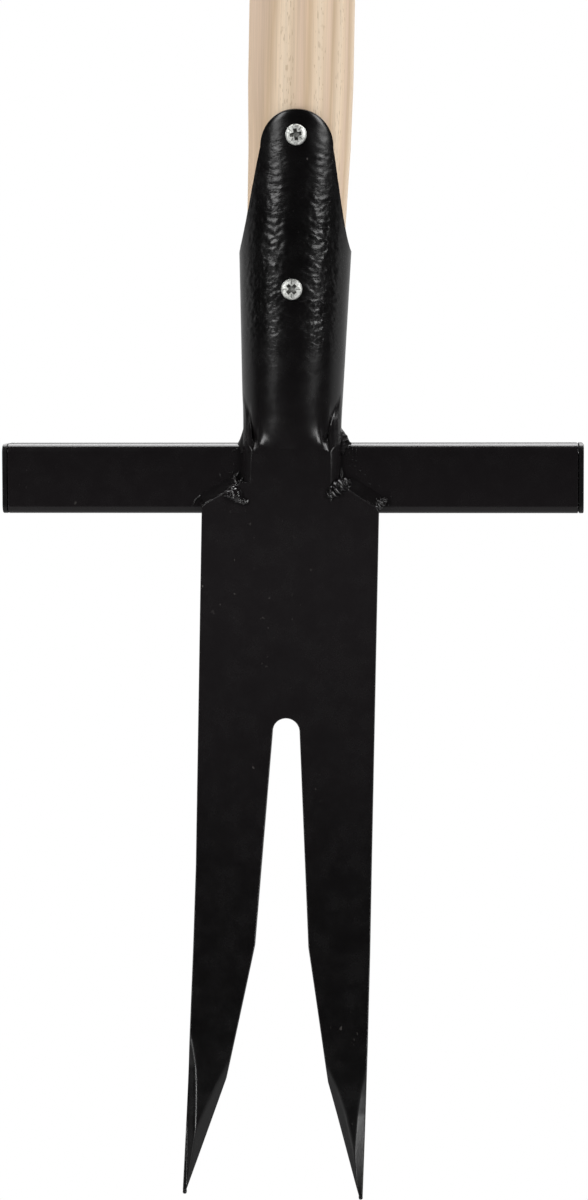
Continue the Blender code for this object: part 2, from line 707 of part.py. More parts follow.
def t_grip(finish):
    """Turned crosspiece, thickest in the middle, bored for the tenon and let in for the shoulder."""
    half = GRIP_LENGTH / 2
    end = GRIP_END_DIAMETER / 2
    barrel_steps = 8
    side = []
    for step in range(barrel_steps + 1):
        share = step / barrel_steps
        radius = mix(end, GRIP_DIAMETER / 2, cos(pi / 2 * share) ** 1.5)
        side.append((radius, (half - GRIP_END_ROUND) * share))
    flat = end - GRIP_END_ROUND
    ring = arc((flat, half - GRIP_END_ROUND), GRIP_END_ROUND, 0, pi / 2, 5)
    side += ring[1:] + [(0, half)]
    profile = [(radius, -x) for radius, x in reversed(side)] + side[1:]
    piece = place("t_grip", turned(profile, 32), finish)
    piece.location = (0, 0, GRIP_MIDDLE)
    piece.rotation_euler = (0, pi / 2, 0)
    bore = drill("tenon_bore", TENON_DIAMETER / 2 + FIT, 2 * GRIP_DIAMETER, 32)
    bore.location = (0, 0, GRIP_MIDDLE - GRIP_DIAMETER)
    cut(piece, bore)
    seat = drill("shoulder_seat", SHAFT_TOP_DIAMETER / 2 + FIT, GRIP_DIAMETER / 2, 32)
    seat.location = (0, 0, GRIP_MIDDLE - GRIP_DIAMETER + GRIP_SEAT_DEPTH + FIT)
    cut(piece, seat)
    return piece


def screw(name, x, height, turn, finish):
    """Pan head wood screw with a cross recess, lying along Y with its head in front."""
    shank = SCREW_DIAMETER / 2
    head = SCREW_HEAD_DIAMETER / 2
    rim = SCREW_HEAD_HEIGHT * SCREW_RIM_SHARE
    edge = rim / 3
    profile = [(0, -SCREW_LENGTH), (shank * SCREW_TIP_SHARE, -SCREW_LENGTH + SCREW_POINT / 2),
               (shank, -SCREW_LENGTH + SCREW_POINT), (shank, 0), (head - edge, 0), (head, edge)]
    dome_steps = 5
    for step in range(dome_steps + 1):
        angle = pi / 2 * step / dome_steps
        profile.append((head * cos(angle) if step < dome_steps else 0,
                        rim + (SCREW_HEAD_HEIGHT - rim) * sin(angle)))
    piece = place(name, turned(profile, 20), finish)
    seat = -socket_radius(height) - FIT
    piece.location = (x, seat, height)
    piece.rotation_euler = (pi / 2, 0, 0)
    recess = cross_cutter(f"{name}_recess")
    recess.location = (x, seat - SCREW_HEAD_HEIGHT + RECESS_DEPTH, height)
    recess.rotation_euler = (pi / 2, turn, 0)
    cut(piece, recess)
    return piece


def cross_cutter(name):
    """A cross that narrows downwards, standing on its own origin."""
    arm = RECESS_ARM / 2
    rings = []
    for height, span in ((0, RECESS_ROOT), (2 * RECESS_DEPTH, RECESS_SPAN)):
        quarter = [(span, -arm), (span, arm), (arm, arm)]
        ring = []
        for step in range(4):
            turned_by = Matrix.Rotation(pi / 2 * step, 3, "Z")
            ring += [turned_by @ Vector((px, py, height)) for px, py in quarter]
        rings.append(ring)
    return place(name, loft(rings), None)


def build():
    for old in list(bpy.data.objects):
        bpy.data.objects.remove(old)
    steel = material("black_powder_coat", (0.012, 0.011, 0.012), 0.38)
    bead = material("coated_weld", (0.012, 0.011, 0.012), 0.3)
    ash = material("ash_wood", (0.66, 0.5, 0.34), 0.55)
    wedge = material("beech_wedge", (0.5, 0.33, 0.2), 0.6)
    zinc = material("zinc_plate", (0.62, 0.63, 0.61), 0.3, 1.0)
    plastic = material("black_plastic", (0.02, 0.02, 0.02), 0.5)

    fork_head(steel)
    tread_bar(steel)
    end_cap("end_cap_left", -1, plastic)
    end_cap("end_cap_right", 1, plastic)
    shoulder_weld("weld_shoulder_left", -1, bead)
    shoulder_weld("weld_shoulder_right", 1, bead)
    socket_weld("weld_socket_left", -1, SOCKET_BEAD_HEIGHT_LEFT, bead)
    socket_weld("weld_socket_right", 1, SOCKET_BEAD_HEIGHT_RIGHT, bead)
    handle_shaft(ash)
    t_grip(ash)
    wedge_block("tenon_wedge", 0.0, wedge)
    turns = {"upper_screw": UPPER_SCREW_TURN, "lower_screw": LOWER_SCREW_TURN}
    for name, x, height in screw_places():
        screw(name, x, height, turns[name], zinc)


build()
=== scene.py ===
"""Weeding fork with a square foot tread, dressed for its portrait.

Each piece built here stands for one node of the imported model, at the same place
and size, with finer forms and a finish of its own. Lengths are metres, +Z runs
up the shaft, and the front of the blade faces -Y.
"""
from __future__ import annotations

import logging
import random
from dataclasses import dataclass, field
from enum import Enum
from math import acos, asin, atan2, cos, degrees, hypot, pi, radians, sin, tan, tau
from typing import Any, Iterable, Sequence

import bmesh
import bpy
from mathutils import Matrix, Vector, noise

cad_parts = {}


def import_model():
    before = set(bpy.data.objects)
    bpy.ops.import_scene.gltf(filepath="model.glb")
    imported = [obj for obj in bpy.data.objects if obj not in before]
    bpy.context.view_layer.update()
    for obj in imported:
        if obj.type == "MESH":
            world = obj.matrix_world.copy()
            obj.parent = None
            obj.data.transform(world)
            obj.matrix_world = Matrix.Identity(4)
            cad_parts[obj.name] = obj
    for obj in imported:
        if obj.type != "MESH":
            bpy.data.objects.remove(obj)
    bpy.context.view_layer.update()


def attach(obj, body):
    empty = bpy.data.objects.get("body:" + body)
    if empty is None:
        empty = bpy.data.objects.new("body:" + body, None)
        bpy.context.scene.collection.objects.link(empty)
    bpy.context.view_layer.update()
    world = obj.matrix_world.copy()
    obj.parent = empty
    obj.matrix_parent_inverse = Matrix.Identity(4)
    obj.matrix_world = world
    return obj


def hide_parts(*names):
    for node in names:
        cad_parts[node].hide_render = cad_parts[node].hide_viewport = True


LOG = logging.getLogger("weeding_fork")
BODY = "root"
MM = 0.001
FIT = 0.3 * MM
CORNERS = ((-1, -1), (1, -1), (1, 1), (-1, 1))
SECTION_STEP = 0.33

Colour = tuple[float, float, float]
Point = Sequence[float]
Piece = bpy.types.Object
Material = bpy.types.Material
Socket = bpy.types.NodeSocket


class Side(Enum):
    """Left or right of the shaft, as seen from the front."""

    LEFT = -1
    RIGHT = 1


class Grain(Enum):
    """Direction in which the fibres of a wooden piece run."""

    UP = "up"
    ACROSS = "across"


def mix(first: float, second: float, share: float) -> float:
    """Value at a share of the way from the first to the second."""
    return first + (second - first) * share


def clamp(value: float) -> float:
    """Value held between 0 and 1."""
    return max(0.0, min(1.0, value))


def ease_apart(first: float, second: float, width: float) -> float:
    """The larger of two depths, with the corner between them rounded over a width."""
    near = max(width - abs(first - second), 0.0)
    return max(first, second) + (near * near / (4 * width) if width > 0 else 0.0)


def shares(steps: int, first: int = 0) -> list[float]:
    """Even shares up to 1, from 0 or from a later step."""
    return [step / steps for step in range(first, steps + 1)]


def quarter_turns(steps: int) -> list[float]:
    """Even angles from 0 to a quarter of a turn."""
    return [pi / 2 * step / steps for step in range(steps + 1)]


def uneven(along: float, seed: int, share: float) -> float:
    """Factor near 1 that drifts along a weld by up to a share."""
    return 1 + share * noise.noise(Vector((along * 0.45, seed * 7.3, 0)))


def arc(centre: Point, radius: float, start: float, end: float, steps: int) -> list[tuple[float, float]]:
    """Points on an arc.

    Args:
        centre: Middle of the arc.
        radius: Its radius.
        start: Angle of the first point.
        end: Angle of the last point.
        steps: Number of stretches between the points.

    Returns:
        The points, both ends included.
    """
    angles = [mix(start, end, share) for share in shares(steps)]
    return [(centre[0] + radius * cos(a), centre[1] + radius * sin(a)) for a in angles]


class Nodes:
    """Short-hand for laying and joining the nodes of a tree."""

    def __init__(self, tree: bpy.types.NodeTree) -> None:
        """Takes the tree to fill."""
        self.tree = tree

    def feed(self, node: bpy.types.Node, inputs: dict[Any, Any]) -> None:
        """Gives a node's inputs, by name or number, their values or output sockets."""
        for socket, value in inputs.items():
            if isinstance(value, Socket):
                self.tree.links.new(value, node.inputs[socket])
            else:
                node.inputs[socket].default_value = value

    def add(self, kind: str, inputs: dict[Any, Any] | None = None, **settings: Any) -> bpy.types.Node:
        """Lays a node.

        Args:
            kind: Blender's name of the node type.
            inputs: Values or output sockets for its inputs, by name or number.
            **settings: Properties of the node.

        Returns:
            The new node.
        """
        node = self.tree.nodes.new(kind)
        for name, value in settings.items():
            setattr(node, name, value)
        self.feed(node, inputs or {})
        return node

    def math(self, operation: str, first: Any, second: Any = 0.0) -> Socket:
        """Result of a Math node."""
        return self.add("ShaderNodeMath", {0: first, 1: second}, operation=operation).outputs[0]

    def times(self, first: Any, *others: Any) -> Socket:
        """Product of the values."""
        for other in others:
            first = self.math("MULTIPLY", first, other)
        return first

    def plus(self, first: Any, *others: Any) -> Socket:
        """Sum of the values."""
        for other in others:
            first = self.math("ADD", first, other)
        return first

    def minus(self, first: Any, second: Any) -> Socket:
        """Difference of two values."""
        return self.math("SUBTRACT", first, second)

    def vectors(self, operation: str, first: Any, second: Any) -> Socket:
        """Result of a Vector Math node."""
        return self.add("ShaderNodeVectorMath", {0: first, 1: second}, operation=operation).outputs[0]

    def split(self, vector: Any) -> bpy.types.bpy_prop_collection:
        """The X, Y and Z sockets of a vector."""
        return self.add("ShaderNodeSeparateXYZ", {0: vector}).outputs

    def join(self, x: Any, y: Any, z: Any) -> Socket:
        """A vector of its X, Y and Z."""
        return self.add("ShaderNodeCombineXYZ", {0: x, 1: y, 2: z}).outputs[0]

    def ranged(self, value: Any, low: Any, high: Any, to_low: float = 0.0, to_high: float = 1.0,
               easing: str = "SMOOTHSTEP") -> Socket:
        """Brings a value from one range into another.

        Args:
            value: Socket to read.
            low: Start of its range.
            high: End of its range.
            to_low: Result at the start.
            to_high: Result at the end.
            easing: Blender's name for the way from one to the other.

        Returns:
            The result.
        """
        sockets = {"Value": value, "From Min": low, "From Max": high, "To Min": to_low, "To Max": to_high}
        return self.add("ShaderNodeMapRange", sockets, interpolation_type=easing).outputs[0]

    def stretched(self, vector: Any, per_metre: Point, turn: Point = (0, 0, 0),
                  shift: Point = (0, 0, 0)) -> Socket:
        """Coordinates turned and then scaled along each axis.

        Args:
            vector: Coordinates in metres.
            per_metre: Pattern repeats per metre along X, Y and Z.
            turn: Rotation of the pattern in radians.
            shift: Offset of the pattern.

        Returns:
            The new coordinates.
        """
        turned = self.add("ShaderNodeMapping", {"Vector": vector, "Rotation": turn, "Location": shift})
        return self.vectors("MULTIPLY", turned.outputs[0], per_metre)

    def noise(self, vector: Any, scale: float = 1.0, detail: float = 2.0,
              roughness: float = 0.5) -> Socket:
        """Strength of a Noise Texture at the given coordinates."""
        sockets = {"Vector": vector, "Scale": scale, "Detail": detail, "Roughness": roughness}
        return self.add("ShaderNodeTexNoise", sockets).outputs[0]

    def streaks(self, vector: Any, per_metre: Point, detail: float = 2.0, roughness: float = 0.5,
                shift: Point = (0, 0, 0)) -> Socket:
        """Strength of a noise that repeats at its own pitch along X, Y and Z."""
        return self.noise(self.stretched(vector, per_metre, shift=shift), 1.0, detail, roughness)

    def tint(self, share: Any, first: Any, second: Any, blend: str = "MIX") -> Socket:
        """Colour mixed from two by a share."""
        pair = [(*c, 1.0) if isinstance(c, tuple) else c for c in (first, second)]
        sockets = {0: share, 6: pair[0], 7: pair[1]}
        return self.add("ShaderNodeMix", sockets, data_type="RGBA", blend_type=blend).outputs[2]

    def ramp(self, share: Any, stops: Sequence[tuple[float, Colour]]) -> Socket:
        """Colour read from a ramp of (position, colour) stops."""
        node = self.add("ShaderNodeValToRGB", {0: share})
        elements = node.color_ramp.elements
        while len(elements) < len(stops):
            elements.new(0.5)
        for element, (position, colour) in zip(elements, stops):
            element.position = position
            element.color = (*colour, 1.0)
        return node.outputs[0]

    def bump(self, height: Any, depth: float, below: Any = None) -> Socket:
        """Normal roughened by a height.

        Args:
            height: Height socket, 0 to 1.
            depth: Real depth in metres at a height of 1.
            below: Normal of a coarser bump underneath, if any.

        Returns:
            The roughened normal.
        """
        sockets = {"Height": height, "Distance": depth, "Strength": 1.0}
        if below is not None:
            sockets["Normal"] = below
        return self.add("ShaderNodeBump", sockets).outputs[0]


@dataclass(frozen=True)
class Finish:
    """Procedural finish, laid out over the object's own coordinates."""

    name: str

    def material(self) -> Material:
        """Builds the material."""
        made = bpy.data.materials.new(self.name)
        made.use_nodes = True
        nodes = Nodes(made.node_tree)
        coords = nodes.add("ShaderNodeTexCoord").outputs["Object"]
        nodes.feed(made.node_tree.nodes["Principled BSDF"], self.surface(nodes, coords))
        return made

    def surface(self, nodes: Nodes, coords: Socket) -> dict[str, Any]:
        """Inputs of the shader, by name."""
        raise NotImplementedError


@dataclass(frozen=True)
class PowderCoat(Finish):
    """Satin black powder coat with a fine orange peel."""

    black: Colour = (0.0017, 0.0015, 0.0016)
    worn: Colour = (0.0026, 0.0022, 0.0024)
    # painted light: a lighter black, strongest near the tread and falling off towards the tips and up the
    # socket, standing in for light on the front
    painted_light_tone: Colour = (0.0095, 0.0081, 0.0088)
    painted_light_rise: tuple[float, float] = (60 * MM, 240 * MM)
    painted_light_fall: tuple[float, float] = (335 * MM, 225 * MM)
    dust: Colour = (0.06, 0.056, 0.053)
    gloss_roughness: float = 0.20
    dull_roughness: float = 0.29
    peel_size: float = 1.1 * MM
    peel_depth: float = 0.010 * MM
    specular: float = 0.5
    wrinkles: tuple[float, float] | None = None
    wrinkle_depth: float = 0.16 * MM

    def surface(self, nodes: Nodes, coords: Socket) -> dict[str, Any]:
        """Cloudy black, lightened towards the tread by painted light, with a little dust."""
        cloud = nodes.noise(coords, 38.0, 3.0, 0.55)
        tone = nodes.tint(nodes.ranged(cloud, 0.35, 0.7), self.black, self.worn)
        up = nodes.split(coords)[2]
        # painted light: share of the lighter tone, rising from the tips and falling off up the socket
        painted_light_share = nodes.times(nodes.ranged(up, *self.painted_light_rise), nodes.ranged(up, *self.painted_light_fall))
        fleck = nodes.streaks(coords, (620, 620, 430), 1.0)
        patch = nodes.streaks(coords, (24, 24, 17), shift=(3, 1, 7))
        dusty = nodes.times(nodes.ranged(fleck, 0.74, 0.80), nodes.ranged(patch, 0.55, 0.72))
        haze = nodes.noise(coords, 150.0, 4.0, 0.6)
        normal = None
        if self.wrinkles:
            normal = nodes.bump(self._wrinkle_height(nodes, coords, *self.wrinkles), self.wrinkle_depth)
        return {"Base Color": nodes.tint(dusty, nodes.tint(painted_light_share, tone, self.painted_light_tone), self.dust),
                "Specular IOR Level": self.specular,
                "Roughness": nodes.ranged(haze, 0.3, 0.72, self.gloss_roughness, self.dull_roughness),
                "Normal": nodes.bump(nodes.noise(coords, 1 / self.peel_size), self.peel_depth, normal)}

    @staticmethod
    def _wrinkle_height(nodes: Nodes, coords: Socket, foot: float,
                        top: float) -> Socket:
        """Height of the short cross wrinkles that forging left on the socket's front."""
        place = nodes.split(coords)
        above = nodes.ranged(place[2], foot, foot + 22 * MM)
        below = nodes.ranged(place[2], top - 14 * MM, top, 1.0, 0.0)
        front = nodes.ranged(place[1], -11 * MM, -5 * MM, 1.0, 0.0)
        drift = nodes.ranged(nodes.streaks(coords, (90, 90, 60)), 0.35, 0.6, 0.25, 1.0)
        scales = nodes.streaks(coords, (330, 330, 620), 2.5, 0.55)
        return nodes.times(nodes.minus(scales, 0.5), nodes.times(above, below, front, drift))


@dataclass(frozen=True)
class AshWood(Finish):
    """Sanded open-pored ash with soft bands, fine streaks and short pores."""

    grain: Grain = Grain.UP
    heart: tuple[float, float] = (0.085, 0.046)
    ring_width: float = 9.5 * MM
    wander: float = 14 * MM
    waviness: float = 4 * MM
    dark: Colour = (0.590, 0.435, 0.290)
    rose: Colour = (0.650, 0.490, 0.365)
    pale: Colour = (0.760, 0.615, 0.460)
    cream: Colour = (0.705, 0.550, 0.395)
    pore: Colour = (0.36, 0.245, 0.15)
    pore_strength: float = 0.42
    pore_depth: float = 0.05 * MM
    streak_depth: float = 0.035 * MM
    shift: tuple[float, float, float] = (0.0, 0.0, 0.0)
    tone: float = 1.0
    specular: float = 0.32

    def surface(self, nodes: Nodes, coords: Socket) -> dict[str, Any]:
        """Banded wood with streaks along its fibres and darker pores."""
        turn = (0.0, 0.0, 0.0) if self.grain is Grain.UP else (0.0, pi / 2, 0.0)
        fibre = nodes.stretched(coords, (1, 1, 1), turn, self.shift)
        rings = self._rings(nodes, fibre)
        bands = nodes.ramp(rings, [(0.0, self.dark), (0.22, self.rose), (0.45, self.cream),
                                   (0.62, self.pale), (0.82, self.cream), (1.0, self.dark)])
        streak = nodes.streaks(fibre, (1250, 1250, 16), 3.0, 0.6)
        broad = nodes.streaks(fibre, (240, 240, 7))
        light = nodes.plus(nodes.ranged(streak, 0.28, 0.72, 0.90, 1.07),
                           nodes.ranged(broad, 0.3, 0.7, -0.05, 0.04))
        light = nodes.times(light, self.tone)
        wood = nodes.tint(1.0, bands, nodes.join(light, light, light), "MULTIPLY")
        pores = self._pores(nodes, fibre, rings)
        coarse = nodes.bump(streak, self.streak_depth)
        return {"Base Color": nodes.tint(nodes.times(pores, self.pore_strength), wood, self.pore),
                "Specular IOR Level": self.specular,
                "Roughness": nodes.ranged(streak, 0.3, 0.7, 0.60, 0.48),
                "Normal": nodes.bump(nodes.minus(1.0, pores), self.pore_depth, coarse)}

    def _rings(self, nodes: Nodes, fibre: Socket) -> Socket:
        """Share of the way through a year's ring, 0 to 1."""
        place = nodes.split(fibre)
        x, y = (nodes.minus(place[axis], self.heart[axis]) for axis in (0, 1))
        spread = nodes.math("SQRT", nodes.plus(nodes.times(x, x), nodes.times(y, y)))
        spread = nodes.plus(spread, nodes.times(nodes.streaks(fibre, (9, 9, 5), 1.0), self.wander),
                            nodes.times(nodes.streaks(fibre, (60, 60, 12)), self.waviness))
        return nodes.math("FRACT", nodes.math("DIVIDE", spread, self.ring_width))

    @staticmethod
    def _pores(nodes: Nodes, fibre: Socket,
               rings: Socket) -> Socket:
        """Mask of the short open pores, which crowd in one part of each ring."""
        dashes = nodes.streaks(fibre, (1900, 1900, 330), 1.5)
        crowd = nodes.times(nodes.ranged(rings, 0.30, 0.45), nodes.ranged(rings, 0.92, 0.72))
        return nodes.ranged(nodes.minus(dashes, nodes.minus(0.74, nodes.times(crowd, 0.13))), 0.0, 0.05)


@dataclass(frozen=True)
class ZincPlate(Finish):
    """Bright zinc plating with faint cloudy passivation."""

    clean: Colour = (0.93, 0.94, 0.90)
    cloudy: Colour = (0.50, 0.51, 0.49)
    # painted shade: the dark colour laid into the cross recess
    recess_shade_colour: Colour = (0.10, 0.098, 0.09)
    cloud_depth: float = 0.02 * MM

    def surface(self, nodes: Nodes, coords: Socket) -> dict[str, Any]:
        """Clouded metal, darkened in the recess by painted shade."""
        cloud = nodes.noise(coords, 1100.0, 3.0, 0.7)
        tone = nodes.tint(nodes.ranged(cloud, 0.38, 0.66), self.clean, self.cloudy)
        # painted shade: the recess attribute darkens the cross recess, its walls more than its floor
        recess = nodes.add("ShaderNodeAttribute", attribute_name="recess").outputs["Fac"]
        return {"Base Color": nodes.tint(recess, tone, self.recess_shade_colour),
                "Metallic": 1.0,
                "Roughness": nodes.ranged(nodes.noise(coords, 1500.0), 0.3, 0.7, 0.46, 0.62),
                "Normal": nodes.bump(cloud, self.cloud_depth)}


@dataclass(frozen=True)
class MouldedPlastic(Finish):
    """Black polythene with a dull moulded skin."""

    black: Colour = (0.0054, 0.0052, 0.0054)
    scuffed: Colour = (0.0120, 0.0116, 0.0120)
    specular: float = 0.26
    skin_depth: float = 0.012 * MM

    def surface(self, nodes: Nodes, coords: Socket) -> dict[str, Any]:
        """Black with scuffs along the bar."""
        scuff = nodes.streaks(coords, (420, 160, 160), 4.0, 0.65)
        return {"Base Color": nodes.tint(nodes.ranged(scuff, 0.5, 0.75), self.black, self.scuffed),
                "Specular IOR Level": self.specular,
                "Roughness": nodes.ranged(scuff, 0.35, 0.7, 0.26, 0.36),
                "Normal": nodes.bump(nodes.noise(coords, 2400.0), self.skin_depth)}


class Shell:
    """Gathers faces by their corners and joins the corners that coincide."""

    def __init__(self) -> None:
        """Starts an empty shell."""
        self.mesh = bmesh.new()
        self.corners: dict[tuple[int, ...], bmesh.types.BMVert] = {}

    def face(self, points: Iterable[Point]) -> None:
        """Adds a face, and leaves out corners that fall together."""
        ring: list[bmesh.types.BMVert] = []
        for point in points:
            key = tuple(round(value * 1e7) for value in point)
            if key not in self.corners:
                self.corners[key] = self.mesh.verts.new(point)
            vertex = self.corners[key]
            if not ring or vertex is not ring[-1]:
                ring.append(vertex)
        if ring and ring[0] is ring[-1]:
            ring.pop()
        if len(ring) > 2:
            self.mesh.faces.new(ring)

    def loft(self, rings: Sequence[Sequence[Point]], closed: bool = False) -> None:
        """Joins closed rings of points.

        Args:
            rings: Rings with the same number of points.
            closed: Whether the last ring joins the first, instead of both being filled.
        """
        pairs = list(zip(rings, rings[1:]))
        if closed:
            pairs.append((rings[-1], rings[0]))
        else:
            self.face(list(rings[0]))
            self.face(list(reversed(rings[-1])))
        for low, high in pairs:
            for here in range(len(low)):
                after = (here + 1) % len(low)
                self.face([low[after], low[here], high[here], high[after]])


def placed(name: str, data: Any) -> Piece:
    """Puts a new object with its data into the scene."""
    made = bpy.data.objects.new(name, data)
    bpy.context.collection.objects.link(made)
    return made


def finish_mesh(name: str, shape: bmesh.types.BMesh, place: Matrix | None = None,
                sharp: float = 35.0) -> Piece:
    """Turns a bmesh into an object with its place in its mesh.

    Args:
        name: The object's name.
        shape: The mesh, which is used up.
        place: Where the mesh goes, if it isn't there yet.
        sharp: Angle in degrees over which an edge is shaded sharp.

    Returns:
        The new object, at the origin.
    """
    if place is not None:
        bmesh.ops.transform(shape, matrix=place, verts=shape.verts)
    bmesh.ops.recalc_face_normals(shape, faces=shape.faces)
    mesh = bpy.data.meshes.new(name)
    shape.to_mesh(mesh)
    shape.free()
    mesh.shade_smooth()
    mesh.set_sharp_from_angle(angle=radians(sharp))
    return placed(name, mesh)


def lofted(name: str, rings: Sequence[Sequence[Point]], place: Matrix | None = None,
           closed: bool = False) -> Piece:
    """Makes a piece of rings of points, filled at both ends unless they close on themselves."""
    shell = Shell()
    shell.loft(rings, closed)
    return finish_mesh(name, shell.mesh, place)


def block(name: str, sections: Iterable[tuple[float, float, float]],
          place: Matrix | None = None) -> Piece:
    """Makes a four-sided block from (height, half width along X, half width along Y) sections."""
    return lofted(name, [[Vector((x * across, y * deep, height)) for x, y in CORNERS]
                         for height, across, deep in sections], place)


def turned(profile: Sequence[tuple[float, float]], steps: int) -> bmesh.types.BMesh:
    """Spins a profile of (radius, height) points once round the Z axis."""
    shell = Shell()
    angles = [tau * share for share in shares(steps)]
    spun = [[(radius * cos(turn), radius * sin(turn), height) for radius, height in profile]
            for turn in angles]
    for here, after in zip(spun, spun[1:]):
        for step in range(len(profile) - 1):
            shell.face([here[step], after[step], after[step + 1], here[step + 1]])
    return shell.mesh


def rounded_square(half: float, corner: float, height: float, steps: int = 8) -> list[Vector]:
    """Ring of points: a square with round corners.

    Args:
        half: Half the square's width.
        corner: Radius of its corners.
        height: Height of the ring.
        steps: Stretches in each corner.

    Returns:
        The ring's points.
    """
    centre = half - corner
    ring: list[Vector] = []
    for quarter in range(4):
        turn = pi / 2 * quarter
        middle = (centre * (cos(turn) - sin(turn)), centre * (sin(turn) + cos(turn)))
        ring += [Vector((x, y, height)) for x, y in arc(middle, corner, turn, turn + pi / 2, steps)]
    return ring


def settle(made: Piece) -> None:
    """Turns an object and its modifiers into one plain mesh."""
    graph = bpy.context.evaluated_depsgraph_get()
    mesh = bpy.data.meshes.new_from_object(made.evaluated_get(graph), depsgraph=graph)
    made.modifiers.clear()
    made.data = mesh


def cut(made: Piece, cutter: Piece) -> None:
    """Takes a cutter out of a piece and removes the cutter."""
    boolean = made.modifiers.new("cut", "BOOLEAN")
    boolean.operation = "DIFFERENCE"
    boolean.solver = "EXACT"
    boolean.object = cutter
    settle(made)
    bpy.data.objects.remove(cutter)


def drill(made: Piece, radius: float, depth: float, place: Matrix, steps: int) -> None:
    """Bores a round hole.

    Args:
        made: The piece.
        radius: Radius of the hole.
        depth: How far it goes.
        place: Where it starts, with Z into the piece.
        steps: Number of its sides.
    """
    cut(made, finish_mesh("bore", turned([(0, 0), (radius, 0), (radius, depth), (0, depth)], steps), place))


def even_normals(made: Piece, sharp: float = 35.0) -> Piece:
    """Shades broad faces flat and keeps the small edges between them round."""
    made.data.shade_smooth()
    made.data.set_sharp_from_angle(angle=radians(sharp))
    weighted = made.modifiers.new("even", "WEIGHTED_NORMAL")
    weighted.keep_sharp = True
    settle(made)
    return made


class GeometryTree(Nodes):
    """Geometry node tree with named inputs, ended by Realize Instances and Set Material."""

    def __init__(self, name: str, sizes: dict[str, float], material: Material) -> None:
        """Makes the tree's interface.

        Args:
            name: The tree's name.
            sizes: Named inputs with their values.
            material: Material of what the tree makes.
        """
        super().__init__(bpy.data.node_groups.new(name, "GeometryNodeTree"))
        self.sizes = sizes
        self.material = material
        face = self.tree.interface
        face.new_socket("Geometry", in_out="INPUT", socket_type="NodeSocketGeometry")
        self.sockets = {}
        for size in sizes:
            socket = face.new_socket(size, in_out="INPUT", socket_type="NodeSocketFloat")
            self.sockets[size] = socket.identifier
        face.new_socket("Geometry", in_out="OUTPUT", socket_type="NodeSocketGeometry")
        self.entry = self.add("NodeGroupInput").outputs

    def run_on(self, made: Piece, geometry: Socket) -> Piece:
        """Ends the tree and runs it on an object.

        Args:
            made: The object, which keeps the result as its mesh.
            geometry: What the tree sends out, once realized and given the material.

        Returns:
            The same object.
        """
        real = self.add("GeometryNodeRealizeInstances", {0: geometry}).outputs[0]
        dressed = self.add("GeometryNodeSetMaterial", {"Geometry": real, "Material": self.material})
        self.add("NodeGroupOutput", {0: dressed.outputs[0]})
        modifier = made.modifiers.new(self.tree.name, "NODES")
        modifier.node_group = self.tree
        for size, value in self.sizes.items():
            modifier[self.sockets[size]] = value
        settle(made)
        return made


def hand_over(made: Piece, material: Material, slot: str, *nodes: str) -> None:
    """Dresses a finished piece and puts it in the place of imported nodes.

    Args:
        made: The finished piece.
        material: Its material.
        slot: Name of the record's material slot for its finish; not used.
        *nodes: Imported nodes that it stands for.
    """
    made.data.materials.clear()
    made.data.materials.append(material)
    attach(made, BODY)
    if nodes:
        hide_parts(*nodes)
    LOG.info("%s: %d faces, %s", made.name, len(made.data.polygons), material.name)


